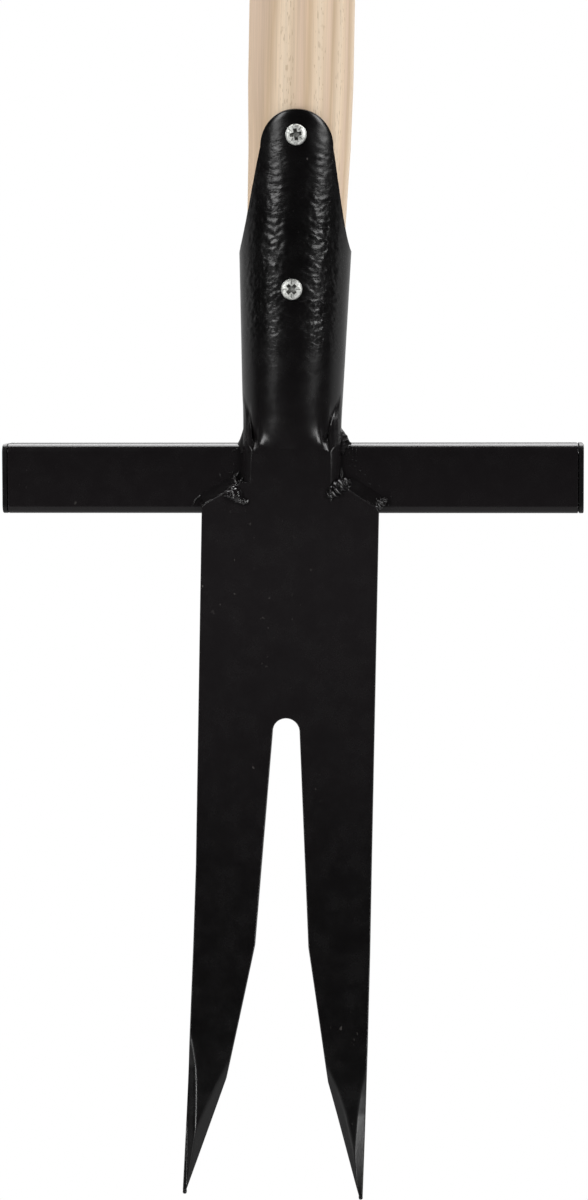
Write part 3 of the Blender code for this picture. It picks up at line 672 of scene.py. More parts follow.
@dataclass
class Tread:
    """Square tube across the neck, with a plastic plug in each end."""

    height: float = 248.8 * MM
    length: float = 210.0 * MM
    size: float = 25.0 * MM
    wall: float = 2.0 * MM
    corner: float = 3.0 * MM
    tilt: float = radians(1.2)
    flange: float = 1.7 * MM
    flange_edge: float = 0.4 * MM
    flange_break: float = 0.15 * MM
    rim: float = 0.3 * MM
    plug_reach: float = 12.0 * MM
    plug_wall: float = 1.6 * MM
    rib: float = 0.8 * MM
    ribs: int = 3

    @property
    def top(self) -> float:
        """Height of the bar's top face at the shaft."""
        return self.height + self.size

    @property
    def frame(self) -> Matrix:
        """Middle of the bar, with X along it."""
        middle = Matrix.Translation((0, 0, self.height + self.size / 2))
        return middle @ Matrix.Rotation(-self.tilt, 4, "Y")

    def build_bar(self) -> Piece:
        """Tube with open ends and slightly rounded rims."""
        half = self.size / 2
        reach = self.length / 2 - self.flange - FIT
        bore = half - self.wall
        bore_corner = self.corner - self.wall
        outside = [(half - self.rim, reach), (half - self.rim * 0.3, reach - self.rim * 0.3),
                   (half, reach - self.rim)]
        rings = [rounded_square(width, self.corner, -height) for width, height in outside]
        rings += [rounded_square(half, self.corner, mix(-reach, reach, share / 12)) for share in range(1, 12)]
        rings += [rounded_square(width, self.corner, height) for width, height in reversed(outside)]
        rings += [rounded_square(bore, bore_corner, reach), rounded_square(bore, bore_corner, -reach)]
        place = self.frame @ Matrix.Rotation(pi / 2, 4, "Y")
        return even_normals(lofted("tread_bar_coated", rings, place, closed=True))

    def build_plug(self, side: Side) -> Piece:
        """Flange that covers the tube's end, with a ribbed hollow body inside the tube."""
        half = self.size / 2
        inside = half - self.wall - FIT
        core = inside - self.rib
        hollow = core - self.plug_wall
        corner = self.corner - self.wall
        start = self.length / 2 - self.flange
        outer = self.length / 2
        edge = self.flange_edge
        sections = []
        for turn in quarter_turns(4):
            inset = edge * (1 - sin(turn))
            sections.append((half - inset, self.corner - inset, outer - edge * (1 - cos(turn))))
        sections.append((half, self.corner, start + self.flange_break))
        sections.append((half - self.flange_break, self.corner, start))
        pitch = self.plug_reach / self.ribs
        for rib in range(self.ribs):
            root = start - pitch * rib
            sections += [(core, corner, root), (core, corner, root - pitch * 0.6),
                         (inside, corner, root - pitch * 0.7)]
        sections += [(core, corner, start - self.plug_reach), (hollow, corner / 2, start - self.plug_reach),
                     (hollow, corner / 2, start)]
        rings = [rounded_square(*section) for section in sections]
        place = self.frame @ Matrix.Rotation(pi / 2 * side.value, 4, "Y")
        return even_normals(lofted(f"end_plug_{side.name.lower()}", rings, place))

    def dress(self, coat: Material, plastic: Material) -> None:
        """Builds bar and plugs and puts them in place."""
        hand_over(self.build_bar(), coat, "coated_steel", "tread_bar")
        for side in Side:
            hand_over(self.build_plug(side), plastic, "cap_plastic", f"end_cap_{side.name.lower()}")


@dataclass(frozen=True)
class EdgePoint:
    """Corner of the blade's outline."""

    x: float
    height: float
    drop: float = 0.0
    rounding: float = 0.4 * MM


@dataclass
class Facet:
    """One ground facet of a prong, in millimetres and degrees.

    Its ridge is given by insets from the prong's outer side at heights over the tips.
    """

    ridge: list[tuple[float, float]]
    slope: float
    easing: float

    def __post_init__(self) -> None:
        """Turns the sizes into metres and radians."""
        self.ridge = [(inset * MM, height * MM) for inset, height in self.ridge]
        self.slope = radians(self.slope)
        self.easing *= MM

    def depth(self, inset: float, height: float, outward: int) -> float:
        """How deep the facet's plane lies at an inset from the prong's outer side.

        Args:
            inset: Distance from the prong's outer side.
            height: Height over the tips.
            outward: 1 for the facet on the outer side, -1 for the one beside the notch.

        Returns:
            The depth, below zero outside the facet.
        """
        ridge = self.ridge
        step = next((i for i in range(1, len(ridge) - 1) if height <= ridge[i][1]), len(ridge) - 1)
        (near, low), (far, high) = ridge[step - 1], ridge[step]
        lean = (far - near) / (high - low)
        there = near + lean * (height - low)
        return outward * (there - inset) * cos(atan2(lean, 1.0)) * tan(self.slope)


@dataclass
class ProngGrind:
    """How one prong's point is ground: a facet on its outer side and one beside the notch."""

    outer: Facet
    inner: Facet

    def drop(self, inset: float, height: float, deepest: float) -> float:
        """How far the grinding takes the front back at one place."""
        outer = ease_apart(self.outer.depth(inset, height, 1), 0.0, self.outer.easing)
        inner = ease_apart(self.inner.depth(inset, height, -1), 0.0, self.inner.easing)
        both = ease_apart(outer, inner, self.outer.easing * clamp(min(outer, inner) / self.outer.easing))
        return deepest - ease_apart(deepest - both, 0.0, 0.3 * MM)


@dataclass(frozen=True)
class Forming:
    """How the front leaves the neck's flat at one wrap angle: over which heights and how soon."""

    angle: float
    start: float
    end: float
    power: float


@dataclass
class ForkHead:
    """Blade, neck, socket and tongue, forged and rolled from one plate."""

    tread: Tread
    shaft_radius: float = 19.0 * MM
    plate: float = 4.0 * MM
    blade_width: float = 63.8 * MM
    slot_radius: float = 4.9 * MM
    slot_height: float = 170.0 * MM
    upper_bend: tuple[float, float] = (19.5 * MM, 91.6 * MM)
    lower_bend: tuple[float, float] = (37.2 * MM, 42.1 * MM)
    tip_width: float = 1.3 * MM
    land: float = 1.0 * MM
    ground: float = 60.0 * MM
    ground_rows: int = 72
    ground_columns: int = 30
    sway: float = 2.0 * MM
    splay: float = 1.1 * MM
    sway_height: float = 120.0 * MM
    sway_power: float = 1.6
    shoulder_rise: float = 2.4 * MM
    shoulder_slope: float = 8.6 * MM
    shoulder_round: float = 2.0 * MM
    neck_width: float = 35.4 * MM
    neck_round: float = 3.9 * MM
    neck_foot_round: float = 3.4 * MM
    neck_edge_power: float = 1.3
    crease_drop: float = 1.7 * MM
    forming: float = 12.2 * MM
    fold: float = radians(51)
    flattened: tuple[float, float] = (289 * MM, 283 * MM)
    back_forming: float = 3.0
    front_forming: tuple[Forming, ...] = tuple(
        Forming(radians(angle), start * MM, end * MM, power) for angle, start, end, power in (
            (0, 0.0, 13.9, 3.0), (27, 0.0, 13.9, 2.7), (34, 0.0, 12.2, 2.2), (38, 0.0, 9.2, 1.7),
            (42, 0.0, 5.8, 1.2), (45, -0.2, 4.1, 1.0), (48, -0.4, 4.0, 1.0), (50, -0.9, 4.6, 1.1),
            (56, -0.4, 13.9, 1.5), (65, 0.8, 17.0, 1.2), (75, 1.8, 20.0, 1.05), (84, 2.4, 20.0, 1.0),
            (94, 2.4, 18.0, 1.2), (115, 2.4, 13.9, 2.6), (180, 2.4, 13.9, 3.0)))
    wall: float = 2.4 * MM
    socket_length: float = 69.2 * MM
    socket_radius: float = 20.3 * MM
    taper: float = 0.0385
    offset: float = -0.85 * MM
    skirt_lift: float = 1.8 * MM
    seam_gap: float = 2.0 * MM
    seam_drop: float = 3.0 * MM
    tongue_length: float = 50.0 * MM
    ring_lean: float = 0.8 * MM
    side_bow: float = 15.0 * MM
    tongue_half: float = 13.1 * MM
    tongue_cap: float = 13.0 * MM
    cap_power: float = 2.15
    necking: float = 60.0 * MM
    rim: float = 0.3 * MM
    rim_power: float = 0.7
    border: float = 2.4 * MM
    border_drop: float = 0.5 * MM
    hollows_in: float = 24 * MM
    hollows_out: float = 48 * MM
    drop_size: tuple[float, float] = (3.3 * MM, 0.86 * MM)
    drop_hang: float = 1.6 * MM
    drop_lean: float = radians(-5)
    screw_drop: float = 9.3 * MM
    screw_spacing: float = 54.6 * MM
    grinds: dict[Side, ProngGrind] = field(default_factory=lambda: {
        Side.LEFT: ProngGrind(
            Facet([(4.9, 0.0), (4.2, 12), (3.45, 24.8), (3.25, 32.1), (2.85, 39.4), (2.2, 46.7), (0.0, 57)],
                  42, 0.9),
            Facet([(-5.0, 0.0), (4.9, 24.8), (7.7, 32.1), (10.8, 39.4), (15.5, 48.6)], 26, 0.45)),
        Side.RIGHT: ProngGrind(
            Facet([(4.7, 0.0), (3.45, 20), (2.9, 30.8), (1.9, 38), (-0.3, 48)], 26, 0.35),
            Facet([(-0.4, 0.0), (3.6, 16.2), (5.4, 23.5), (7.3, 30.8), (10.0, 38.1), (15.5, 48.6)],
                  27, 0.45)),
    })

    def __post_init__(self) -> None:
        """Works out the places that follow from the sizes."""
        self.back = -self.tread.size / 2 - FIT
        self.front = self.back - self.plate
        self.shoulder_out = self.tread.height + self.shoulder_rise
        self.shoulder_in = self.shoulder_out + self.shoulder_slope
        self.crease = self.tread.top - self.crease_drop
        self.tube_start = self.tread.top + self.forming
        self.skirt = self.tread.top + self.skirt_lift
        self.over_tread = self.tread.top + FIT + self.neck_width / 2 * tan(self.tread.tilt)
        self.ring = self.tread.top + self.socket_length
        self.tongue_top = self.ring + self.tongue_length
        self.cap_start = self.tongue_top - self.tongue_cap

    def radius(self, height: float) -> float:
        """Outer radius of the socket or the tongue at a height."""
        if height <= self.ring:
            return self.socket_radius - self.taper * (self.ring - height)
        at_ring = self.socket_radius - self.wall - FIT
        slope = (self.shaft_radius - at_ring) / self.necking
        return self.socket_radius + slope * min(height - self.ring, self.necking)

    def middle(self, height: float) -> float:
        """Middle of the socket, which its tongue leads back to the shaft's line."""
        return self.offset * (1 - self.tongue_share(height))

    def tongue_share(self, height: float) -> float:
        """0 at the ring and below it, 1 where the tongue's round end starts."""
        return clamp((height - self.ring) / (self.cap_start - self.ring))

    def neck_point(self, angle: float, face: int, edge_round: float) -> tuple[float, float]:
        """The neck's section from above.

        Args:
            angle: Wrap angle of the socket that the point belongs to.
            face: 0 for the front, 1 for the back.
            edge_round: Radius of the rolled edge.

        Returns:
            The point's x and y.
        """
        half = self.neck_width / 2
        side = 1 if angle >= 0 else -1
        turn = abs(angle)
        if turn > pi / 2:
            inset = self.wall * face * sin(turn - pi / 2)
            reach = self.radius(self.crease) - inset - self.back
            return side * (half - inset) * sin(turn), self.back - reach * cos(turn)
        flat = half - edge_round
        beyond = (turn - self.fold) / (pi / 2 - self.fold)
        if face:
            return side * (flat * turn / self.fold if beyond <= 0 else mix(flat, half, beyond)), self.back
        if beyond <= 0:
            return side * flat * turn / self.fold, self.front
        bend = pi / 2 * beyond
        power = 2 / self.neck_edge_power
        return (side * (flat + edge_round * sin(bend) ** power),
                self.back - self.plate * max(cos(bend), 0) ** power)

    def sheet_point(self, angle: float, height: float, face: int) -> Vector:
        """Point on the front (0) or the back (1) of the formed sheet."""
        radius = self.radius(height) - self.wall * face
        tube = (self.middle(height) + radius * sin(angle), -radius * cos(angle))
        turn = abs(angle)
        if not face and self.fold < turn < pi / 2:
            along = (turn - self.fold) / (pi / 2 - self.fold)
            start, end = self.flattened
            hammered = clamp((start - height) / (start - end))
            flat_x = self.middle(height) + radius * mix(sin(self.fold), 1.0, along) * (1 if angle > 0 else -1)
            flat_y = -radius * mix(cos(self.fold), 0.0, along)
            tube = (mix(tube[0], flat_x, hammered), mix(tube[1], flat_y, hammered))
        run = (self.over_tread, self.tube_start, self.back_forming) if face else self.front_run(turn)
        start, end, power = run
        formed = 1 - (1 - clamp((height - start) / (end - start))) ** power
        rolled = clamp((height - self.shoulder_in) / (self.crease - self.shoulder_in)) ** 4
        flat = self.neck_point(angle, face, mix(self.neck_foot_round, self.neck_round, rolled))
        return Vector((mix(flat[0], tube[0], formed), mix(flat[1], tube[1], formed), height))

    def front_run(self, angle: float) -> tuple[float, float, float]:
        """Heights between which the front leaves the neck's flat, and how soon, at a wrap angle."""
        for below, above in zip(self.front_forming, self.front_forming[1:]):
            if angle <= above.angle:
                break
        share = clamp((angle - below.angle) / (above.angle - below.angle))
        return (self.crease + mix(below.start, above.start, share),
                self.crease + mix(below.end, above.end, share), mix(below.power, above.power, share))

    def side_at(self, side: Side, depth: float, height: float) -> float:
        """The socket's outside (x) on one side, at a depth (y) and a height."""
        before = self.sheet_point(side.value * radians(30), height, 0)
        for step in range(31, 156):
            here = self.sheet_point(side.value * radians(step), height, 0)
            if here.y >= depth:
                return mix(before.x, here.x, (depth - before.y) / (here.y - before.y))
            before = here
        return before.x

    def columns(self) -> list[tuple[float, float]]:
        """Wrap angle and top height of each column of the sheet, left to right."""
        half: list[tuple[float, float]] = []
        for turn in quarter_turns(34):
            width = self.tongue_half * sin(turn) ** (2 / self.cap_power)
            height = self.cap_start + self.tongue_cap * max(cos(turn), 0) ** (2 / self.cap_power)
            half.append((asin(width / self.radius(height)), height))
        rise = self.cap_start - self.ring
        flare = (self.socket_radius - self.tongue_half) / rise
        swell = (self.radius(self.cap_start) - self.socket_radius) / rise
        first = half[-1][0]
        for along in shares(40, 1):
            angle = mix(first, pi / 2, along)
            up = self.socket_radius * (1 - sin(angle)) / (flare + swell * sin(angle))
            share = self.tongue_share(self.ring + up)
            half.append((angle, self.ring + up - self.side_bow * share * (1 - share) ** 2))
        seam = pi - self.seam_gap / 2 / self.socket_radius
        for share in shares(16, 1):
            half.append((mix(pi / 2, seam, share), self.ring - self.seam_drop * share ** 2))
        leans = [self.ring_lean * sin(angle) * (1 - self.tongue_share(top)) for angle, top in half]
        right = [(angle, top + lean) for (angle, top), lean in zip(half, leans)]
        left = [(-angle, top - lean) for (angle, top), lean in zip(half, leans)]
        return left[:0:-1] + right

    def levels(self, top: float) -> list[float]:
        """Heights of the rows of one column."""
        runs = ((self.shoulder_in, self.crease, 40), (self.crease, self.skirt, 14),
                (self.skirt, self.tube_start, 22), (self.tube_start, top, 210))
        rows = [mix(low, high, step / count) for low, high, count in runs for step in range(count)]
        return rows + [top]

    def build_sheet(self, shell: Shell) -> tuple[list[Vector], list[Vector]]:
        """Adds neck, socket and tongue with rounded rims.

        Args:
            shell: Shell that takes the faces.

        Returns:
            The sheet's lower edge on its front and on its back, left to right.
        """
        columns = self.columns()
        levels = [self.levels(top) for _, top in columns]
        rows = len(levels[0])
        halfway = pi / 2 + 1e-9
        skirt_row = levels[0].index(self.skirt)

        def present(column: int, row: int) -> bool:
            """Whether the sheet holds the cell right of this column, above this row."""
            if not (0 <= column < len(columns) - 1 and 0 <= row < rows - 1):
                return False
            reach = max(abs(columns[column][0]), abs(columns[column + 1][0]))
            return row >= skirt_row or reach <= halfway

        grid = {}
        for column, (angle, top) in enumerate(columns):
            bowed = self.border_drop * clamp((top - self.cap_start) / self.tongue_cap) ** 0.5
            for row in range(rows):
                height = levels[column][row]
                grid[column, row] = [self.sheet_point(angle, height, face) for face in (0, 1)]
                grid[column, row][0].y += bowed * clamp(1 - (top - height) / self.border) ** 2
        after = {}
        cells = {(c, r): [(c, r), (c + 1, r), (c + 1, r + 1), (c, r + 1)]
                 for c in range(len(columns) - 1) for r in range(rows - 1) if present(c, r)}
        for (column, row), corners in cells.items():
            beside = [(column, row - 1), (column + 1, row), (column, row + 1), (column - 1, row)]
            for index, neighbour in enumerate(beside):
                if not present(*neighbour) and not (index == 0 and row == 0):
                    after[corners[index]] = corners[(index + 1) % 4]
        inner = [c for c, (angle, _) in enumerate(columns) if abs(angle) <= halfway]
        chain = [(inner[-1], 0)]
        while chain[-1] in after:
            chain.append(after[chain[-1]])
        self._round_rim(shell, grid, chain)
        for corners in cells.values():
            shell.face([grid[corner][0] for corner in corners])
            shell.face([grid[corner][1] for corner in reversed(corners)])
        return [grid[c, 0][0] for c in inner], [grid[c, 0][1] for c in inner]

    def _round_rim(self, shell: Shell, grid: dict[tuple[int, int], list[Vector]],
                   chain: list[tuple[int, int]]) -> None:
        """Closes the sheet's free edge with a rounded wall, and draws its corners in by as much."""
        middles = [(grid[spot][0] + grid[spot][1]) / 2 for spot in chain]
        rings = []
        for index, spot in enumerate(chain):
            front, back = grid[spot]
            before = middles[max(index - 1, 0)]
            ahead = middles[min(index + 1, len(chain) - 1)]
            through = front - back
            bulge = min(self.rim, through.length / 4)
            if index in (0, len(chain) - 1) or through.length < 1e-6:
                bulge = 0.0
            outward = (ahead - before).cross(through)
            outward = outward.normalized() * bulge if outward.length > 1e-12 else Vector()
            front = front - outward
            back = back - outward
            grid[spot] = [front, back]
            ring = [front.lerp(back, share) + outward * sin(pi * share) ** self.rim_power
                    for share in shares(4)]
            ring[0], ring[-1] = front, back
            rings.append(ring)
        for low, high in zip(rings, rings[1:]):
            for step in range(4):
                shell.face([high[step], low[step], low[step + 1], high[step + 1]])

    def bent_low(self, height: float) -> float:
        """0 where the prongs are straight, rising to 1 at their tips."""
        return clamp((self.sway_height - height) / self.sway_height)

    def outer_side(self, height: float) -> float:
        """Distance of a prong's outer side from the blade's middle."""
        return self.blade_width / 2 + self.splay * self.bent_low(height)

    def inner_side(self, height: float) -> float:
        """Distance of a prong's side in the notch from the blade's middle."""
        low_x, low = self.lower_bend[0] / 2, self.lower_bend[1]
        high_x, high = self.upper_bend[0] / 2, self.upper_bend[1]
        if height >= low:
            return mix(low_x, high_x, (height - low) / (high - low))
        return mix(self.outer_side(0) - self.tip_width, low_x, height / low)

    def ground_levels(self) -> list[float]:
        """Heights of the rows of the ground part of a prong, top to tip, with one at the bend."""
        low = self.lower_bend[1]
        below = round(self.ground_rows * low / self.ground)
        above = self.ground_rows - below
        return ([mix(self.ground, low, step / above) for step in range(above)]
                + [mix(low, 0.0, step / below) for step in range(below + 1)])

    def outline(self, side: Side) -> list[EdgePoint]:
        """Outline of half the blade, from the neck's foot round the tip to the slot's top."""
        half = self.blade_width / 2
        neck = self.neck_width / 2
        grind = self.grinds[side]
        fall = atan2(self.shoulder_slope, half - neck)
        inset = self.shoulder_round * tan((pi / 2 - fall) / 2)
        corner = (half - self.shoulder_round, self.shoulder_out - inset)
        near = 1.5 * MM
        points = [EdgePoint(neck, self.shoulder_in, rounding=0.0),
                  EdgePoint(neck + near * cos(fall), self.shoulder_in - near * sin(fall))]
        points += [EdgePoint(*spot) for spot in arc(corner, self.shoulder_round, pi / 2 - fall, 0, 6)]
        for height in (self.sway_height, mix(self.sway_height, self.ground, 0.5)):
            points.append(EdgePoint(self.outer_side(height), height))
        rows = self.ground_levels()
        full = self.plate - self.land
        points += [EdgePoint(self.outer_side(height), height, grind.drop(0.0, height, full))
                   for height in rows]
        for height in reversed(rows):
            x = self.inner_side(height)
            points.append(EdgePoint(x, height, grind.drop(self.outer_side(height) - x, height, full)))
        high_x, high = self.upper_bend[0] / 2, self.upper_bend[1]
        for share in (0.5, 1.0):
            height = mix(self.ground, high, share)
            points.append(EdgePoint(self.inner_side(height), height))
        run = self.slot_height - high
        touch = acos(self.slot_radius / hypot(run, high_x)) - atan2(run, high_x)
        bow = arc((0, self.slot_height), self.slot_radius, touch, pi / 2, 16)
        return points + [EdgePoint(*spot) for spot in bow]

    def half_blade(self, side: Side, shell: Shell) -> tuple[list[Vector], list[Vector], list[Vector]]:
        """Adds the walls and the ground front of half the blade.

        Args:
            side: Which half.
            shell: Shell that takes the faces.

        Returns:
            Its corners on the front face, on the back face, and the corner wall at the neck from
            back to front.
        """
        points = self.outline(side)
        grind = self.grinds[side]

        def spot(x: float, height: float, depth: float) -> Vector:
            """Point of this half, bent as the prong is."""
            swayed = self.sway * self.bent_low(height) ** self.sway_power
            return Vector((side.value * x - swayed, depth, height))

        rings = []
        for index, point in enumerate(points):
            before, ahead = points[max(index - 1, 0)], points[min(index + 1, len(points) - 1)]
            inward = Vector((0, 0))
            for first, second in ((before, point), (point, ahead)):
                run = Vector((second.x - first.x, second.height - first.height))
                if run.length > 0:
                    inward += Vector((run.y, -run.x)).normalized()
            inward = inward.normalized() if index < len(points) - 1 else Vector((0, 1))
            front = self.front + point.drop
            edge = min(point.rounding, (self.back - front) * 0.3)
            ring = [(edge * (1 - sin(turn)), front + edge * (1 - cos(turn))) for turn in quarter_turns(3)]
            ring += [(inset, self.back - (depth - front)) for inset, depth in reversed(ring)]
            rings.append([spot(point.x + inward.x * inset, point.height + inward.y * inset, depth)
                          for inset, depth in ring])
        for low, high in zip(rings, rings[1:]):
            for step in range(len(low) - 1):
                shell.face([low[step], high[step], high[step + 1], low[step + 1]])
        front = [ring[0] for ring in rings]
        start = next(i for i, point in enumerate(points) if point.height == self.ground)
        levels = self.ground_levels()
        inner = start + 2 * len(levels) - 1
        rows = []
        for row, height in enumerate(levels):
            outside, inside = front[start + row], front[inner - row]
            inset = self.outer_side(height) - self.inner_side(height)
            line = [outside]
            for share in shares(self.ground_columns, 1)[:-1]:
                x = mix(outside.x, inside.x, share)
                drop = grind.drop(inset * share, height, self.plate - self.land)
                line.append(Vector((x, self.front + drop, mix(outside.z, inside.z, share))))
            rows.append(line + [inside])
        for above, below in zip(rows, rows[1:]):
            for step in range(self.ground_columns):
                shell.face([above[step], below[step], below[step + 1], above[step + 1]])
        face = front[:start] + rows[0] + front[inner + 1:]
        return face, [ring[-1] for ring in rings], list(reversed(rings[0]))

    def build(self) -> Piece:
        """Joins blade and sheet in one closed shell."""
        shell = Shell()
        front_edge, back_edge = self.build_sheet(shell)
        halves = {side: self.half_blade(side, shell) for side in Side}
        flat = [point for point in front_edge if point.y < self.front + 1e-9]
        rolled = (len(front_edge) - len(flat)) // 2
        right, left = halves[Side.RIGHT], halves[Side.LEFT]
        shell.face(right[0] + left[0][::-1] + flat)
        shell.face(right[1] + left[1][::-1] + back_edge)
        shell.face(front_edge[len(front_edge) - rolled - 1:] + right[2])
        shell.face(front_edge[rolled::-1] + left[2])
        return finish_mesh("fork_head_coated", shell.mesh)

    def forged(self, made: Piece, coat: Material) -> None:
        """Gives the socket's front the shallow hollows that hammering left."""
        sizes = {"Hollow": 0.22 * MM, "Hollow Pitch": 190.0, "Wrinkle": 0.50 * MM, "Wrinkle Pitch": 460.0,
                 "Foot": 297 * MM, "Top": 392 * MM}
        tree = GeometryTree("hammered_hollows", sizes, coat)
        entry = tree.entry
        place = tree.add("GeometryNodeInputPosition").outputs[0]
        up = tree.split(place)[2]
        foot, top = entry["Foot"], entry["Top"]
        above = tree.ranged(up, foot, tree.plus(foot, self.hollows_in), easing="LINEAR")
        below = tree.ranged(up, top, tree.minus(top, self.hollows_out), easing="LINEAR")
        normal = tree.add("GeometryNodeInputNormal").outputs[0]
        front = tree.ranged(tree.split(normal)[1], -0.35, -0.75)
        where = tree.times(above, below, front)
        stretched = tree.vectors("MULTIPLY", place, (1.0, 1.0, 1.5))
        depths = []
        for kind in ("Hollow", "Wrinkle"):
            waves = tree.noise(stretched, entry[f"{kind} Pitch"], 1.0)
            depths.append(tree.times(tree.minus(waves, 0.5), entry[kind]))
        depth = tree.times(tree.plus(*depths), where)
        push = tree.add("ShaderNodeVectorMath", {0: normal, "Scale": depth}, operation="SCALE")
        moved = tree.add("GeometryNodeSetPosition", {"Geometry": entry["Geometry"],
                                                     "Offset": push.outputs[0]})
        tree.run_on(made, moved.outputs[0])

    def paint_drop(self, side: Side) -> Piece:
        """Bead of paint that ran down to a prong's tip and set there."""
        length, radius = self.drop_size
        profile = [(0.0, 0.0)]
        for share in shares(12, 1)[:-1]:
            profile.append((radius * sin(pi * share ** 0.62) ** 0.8 * (1 - 0.35 * share), length * share))
        profile.append((0.0, length))
        x = side.value * (self.outer_side(0) - self.tip_width / 2) - self.sway
        lean = Matrix.Rotation(side.value * self.drop_lean, 4, "Y")
        place = Matrix.Translation((x, self.back - self.land / 2, -self.drop_hang)) @ lean
        return finish_mesh(f"paint_drop_{side.name.lower()}", turned(profile, 20), place)

    def dress(self, coat: Material, screws: Sequence["WoodScrew"]) -> None:
        """Builds the head, drills it for its screws and puts it in place."""
        made = self.build()
        for screw in screws:
            drill(made, screw.radius + FIT, self.socket_radius, screw.entry(1.5 * self.socket_radius), 32)
        self.forged(made, coat)
        even_normals(made, 32.0)
        hand_over(made, coat, "coated_steel", "fork_head")
        for side in Side:
            hand_over(self.paint_drop(side), coat, "coated_steel")


@dataclass
class WoodScrew:
    """Pan head wood screw with a cross recess and four tick marks."""

    node: str
    x: float
    height: float
    turn: float
    seat: float
    radius: float = 2.0 * MM
    length: float = 25.0 * MM
    point: float = 5.0 * MM
    head_radius: float = 3.8 * MM
    head_height: float = 2.6 * MM
    recess_depth: float = 1.7 * MM
    thread_pitch: float = 1.6 * MM
    plain: float = 3.6 * MM
    core: float = 1.4 * MM
    rim_share: float = 0.30
    arm_foot: tuple[float, float] = (1.1 * MM, 0.46 * MM)
    arm_mouth: tuple[float, float] = (2.9 * MM, 0.78 * MM)
    cross_foot: float = 0.70 * MM
    cross_mouth: float = 1.08 * MM
    tick_run: tuple[float, float] = (1.75 * MM, 3.1 * MM)
    tick_depth: float = 0.14 * MM
    recess_reach: float = 0.68
    floor_reach: float = 0.35
    # painted shade in the recess: share on its floor and on its walls
    recess_shade_levels: tuple[float, float] = (0.15, 0.85)

    def entry(self, ahead: float) -> Matrix:
        """Place on the screw's line at a distance before the shaft's middle, with Z into the wood."""
        return Matrix.Translation((self.x, -ahead, self.height)) @ Matrix.Rotation(-pi / 2, 4, "X")

    def build(self, zinc: Material) -> Piece:
        """Head with its recess, joined with a threaded shank, its recess faces marked for painted shade."""
        made = finish_mesh(f"{self.node}_zinc", turned(self.profile(), 64), sharp=40)
        for cutter in self.cutters():
            cut(made, cutter)
        thread = self.build_thread(zinc)
        joined = bmesh.new()
        # painted shade: the recess layer marks how much painted shade each face of the recess gets
        sunk = joined.faces.layers.float.new("recess")
        joined.from_mesh(made.data)
        joined.normal_update()
        for face in joined.faces:
            middle = face.calc_center_median()
            radius = hypot(middle.x, middle.y)
            under = 0 < middle.z < self.dome(radius) - 0.05 * MM
            inside = radius < self.recess_reach * self.head_radius and under
            level = face.normal.z > 0.9 and radius < self.floor_reach * self.head_radius
            face[sunk] = self.recess_shade_levels[0 if level else 1] if inside else 0.0
        joined.from_mesh(thread.data)
        place = Matrix.Translation((self.x, self.seat, self.height)) @ Matrix.Rotation(pi / 2, 4, "X")
        bpy.data.objects.remove(thread)
        name = made.name
        bpy.data.objects.remove(made)
        return finish_mesh(name, joined, place, sharp=40)

    def dome(self, radius: float) -> float:
        """Height of the head's top at a distance from its middle."""
        rim = self.head_height * self.rim_share
        share = clamp(1 - (radius / self.head_radius) ** 2) ** 0.5
        return rim + (self.head_height - rim) * share ** 0.62

    def profile(self) -> list[tuple[float, float]]:
        """Turned outline from the point to the top of the head."""
        head, core = self.head_radius, self.core
        neck = -3.0 * MM
        points = [(0, -self.length), (core * 0.5, -self.length + self.point * 0.45),
                  (core, -self.length + self.point), (core, neck - 0.6 * MM), (self.radius, neck),
                  (self.radius, 0.0), (head - 0.25 * MM, 0.0), (head - 0.06 * MM, 0.1 * MM)]
        for turn in quarter_turns(14):
            radius = head * cos(turn) if turn < pi / 2 else 0.0
            points.append((radius, self.dome(radius)))
        return points

    def cutters(self) -> Iterable[Piece]:
        """Makes, one by one, the tapered cutters of the cross, its middle and the four ticks."""
        low, high = self.head_height - self.recess_depth, self.head_height + 1.0 * MM
        for quarter in range(2):
            turn = Matrix.Rotation(pi / 2 * quarter + self.turn, 4, "Z")
            yield block("slot", ((low, *self.arm_foot), (high, *self.arm_mouth)), turn)
        core = ((low, self.cross_foot, self.cross_foot), (high, self.cross_mouth, self.cross_mouth))
        yield block("core", core, Matrix.Rotation(self.turn + pi / 4, 4, "Z"))
        for quarter in range(4):
            rings = []
            for x in self.tick_run:
                floor = self.dome(x) - self.tick_depth
                rings.append([Vector((x, y, z)) for y, z in ((-0.13 * MM, floor), (0.13 * MM, floor),
                                                             (0.22 * MM, 4 * MM), (-0.22 * MM, 4 * MM))])
            yield lofted("tick", rings, Matrix.Rotation(pi / 4 + pi / 2 * quarter + self.turn, 4, "Z"))

    def build_thread(self, zinc: Material) -> Piece:
        """Helical thread round the shank."""
        run = self.length - self.point * 0.5 - self.plain
        flank = 0.12 * MM
        sizes = {"Pitch": self.thread_pitch, "Run": run, "Root": self.core + flank,
                 "Crest": self.radius - self.core - flank}
        tree = GeometryTree("screw_thread", sizes, zinc)
        entry = tree.entry
        turns = tree.math("DIVIDE", entry["Run"], entry["Pitch"])
        spiral = tree.add("GeometryNodeCurveSpiral", {"Resolution": 28, "Rotations": turns,
                                                      "Start Radius": entry["Root"],
                                                      "End Radius": entry["Root"], "Height": entry["Run"]})
        tooth = tree.add("GeometryNodeCurvePrimitiveCircle", {"Resolution": 3, "Radius": entry["Crest"]})
        swept = tree.add("GeometryNodeCurveToMesh", {"Curve": spiral.outputs[0],
                                                     "Profile Curve": tooth.outputs[0], "Fill Caps": True})
        down = tree.join(0.0, 0.0, tree.minus(-self.plain, entry["Run"]))
        lowered = tree.add("GeometryNodeTransform", {"Geometry": swept.outputs[0], "Translation": down})
        return tree.run_on(placed("thread", bpy.data.meshes.new("thread")), lowered.outputs[0])

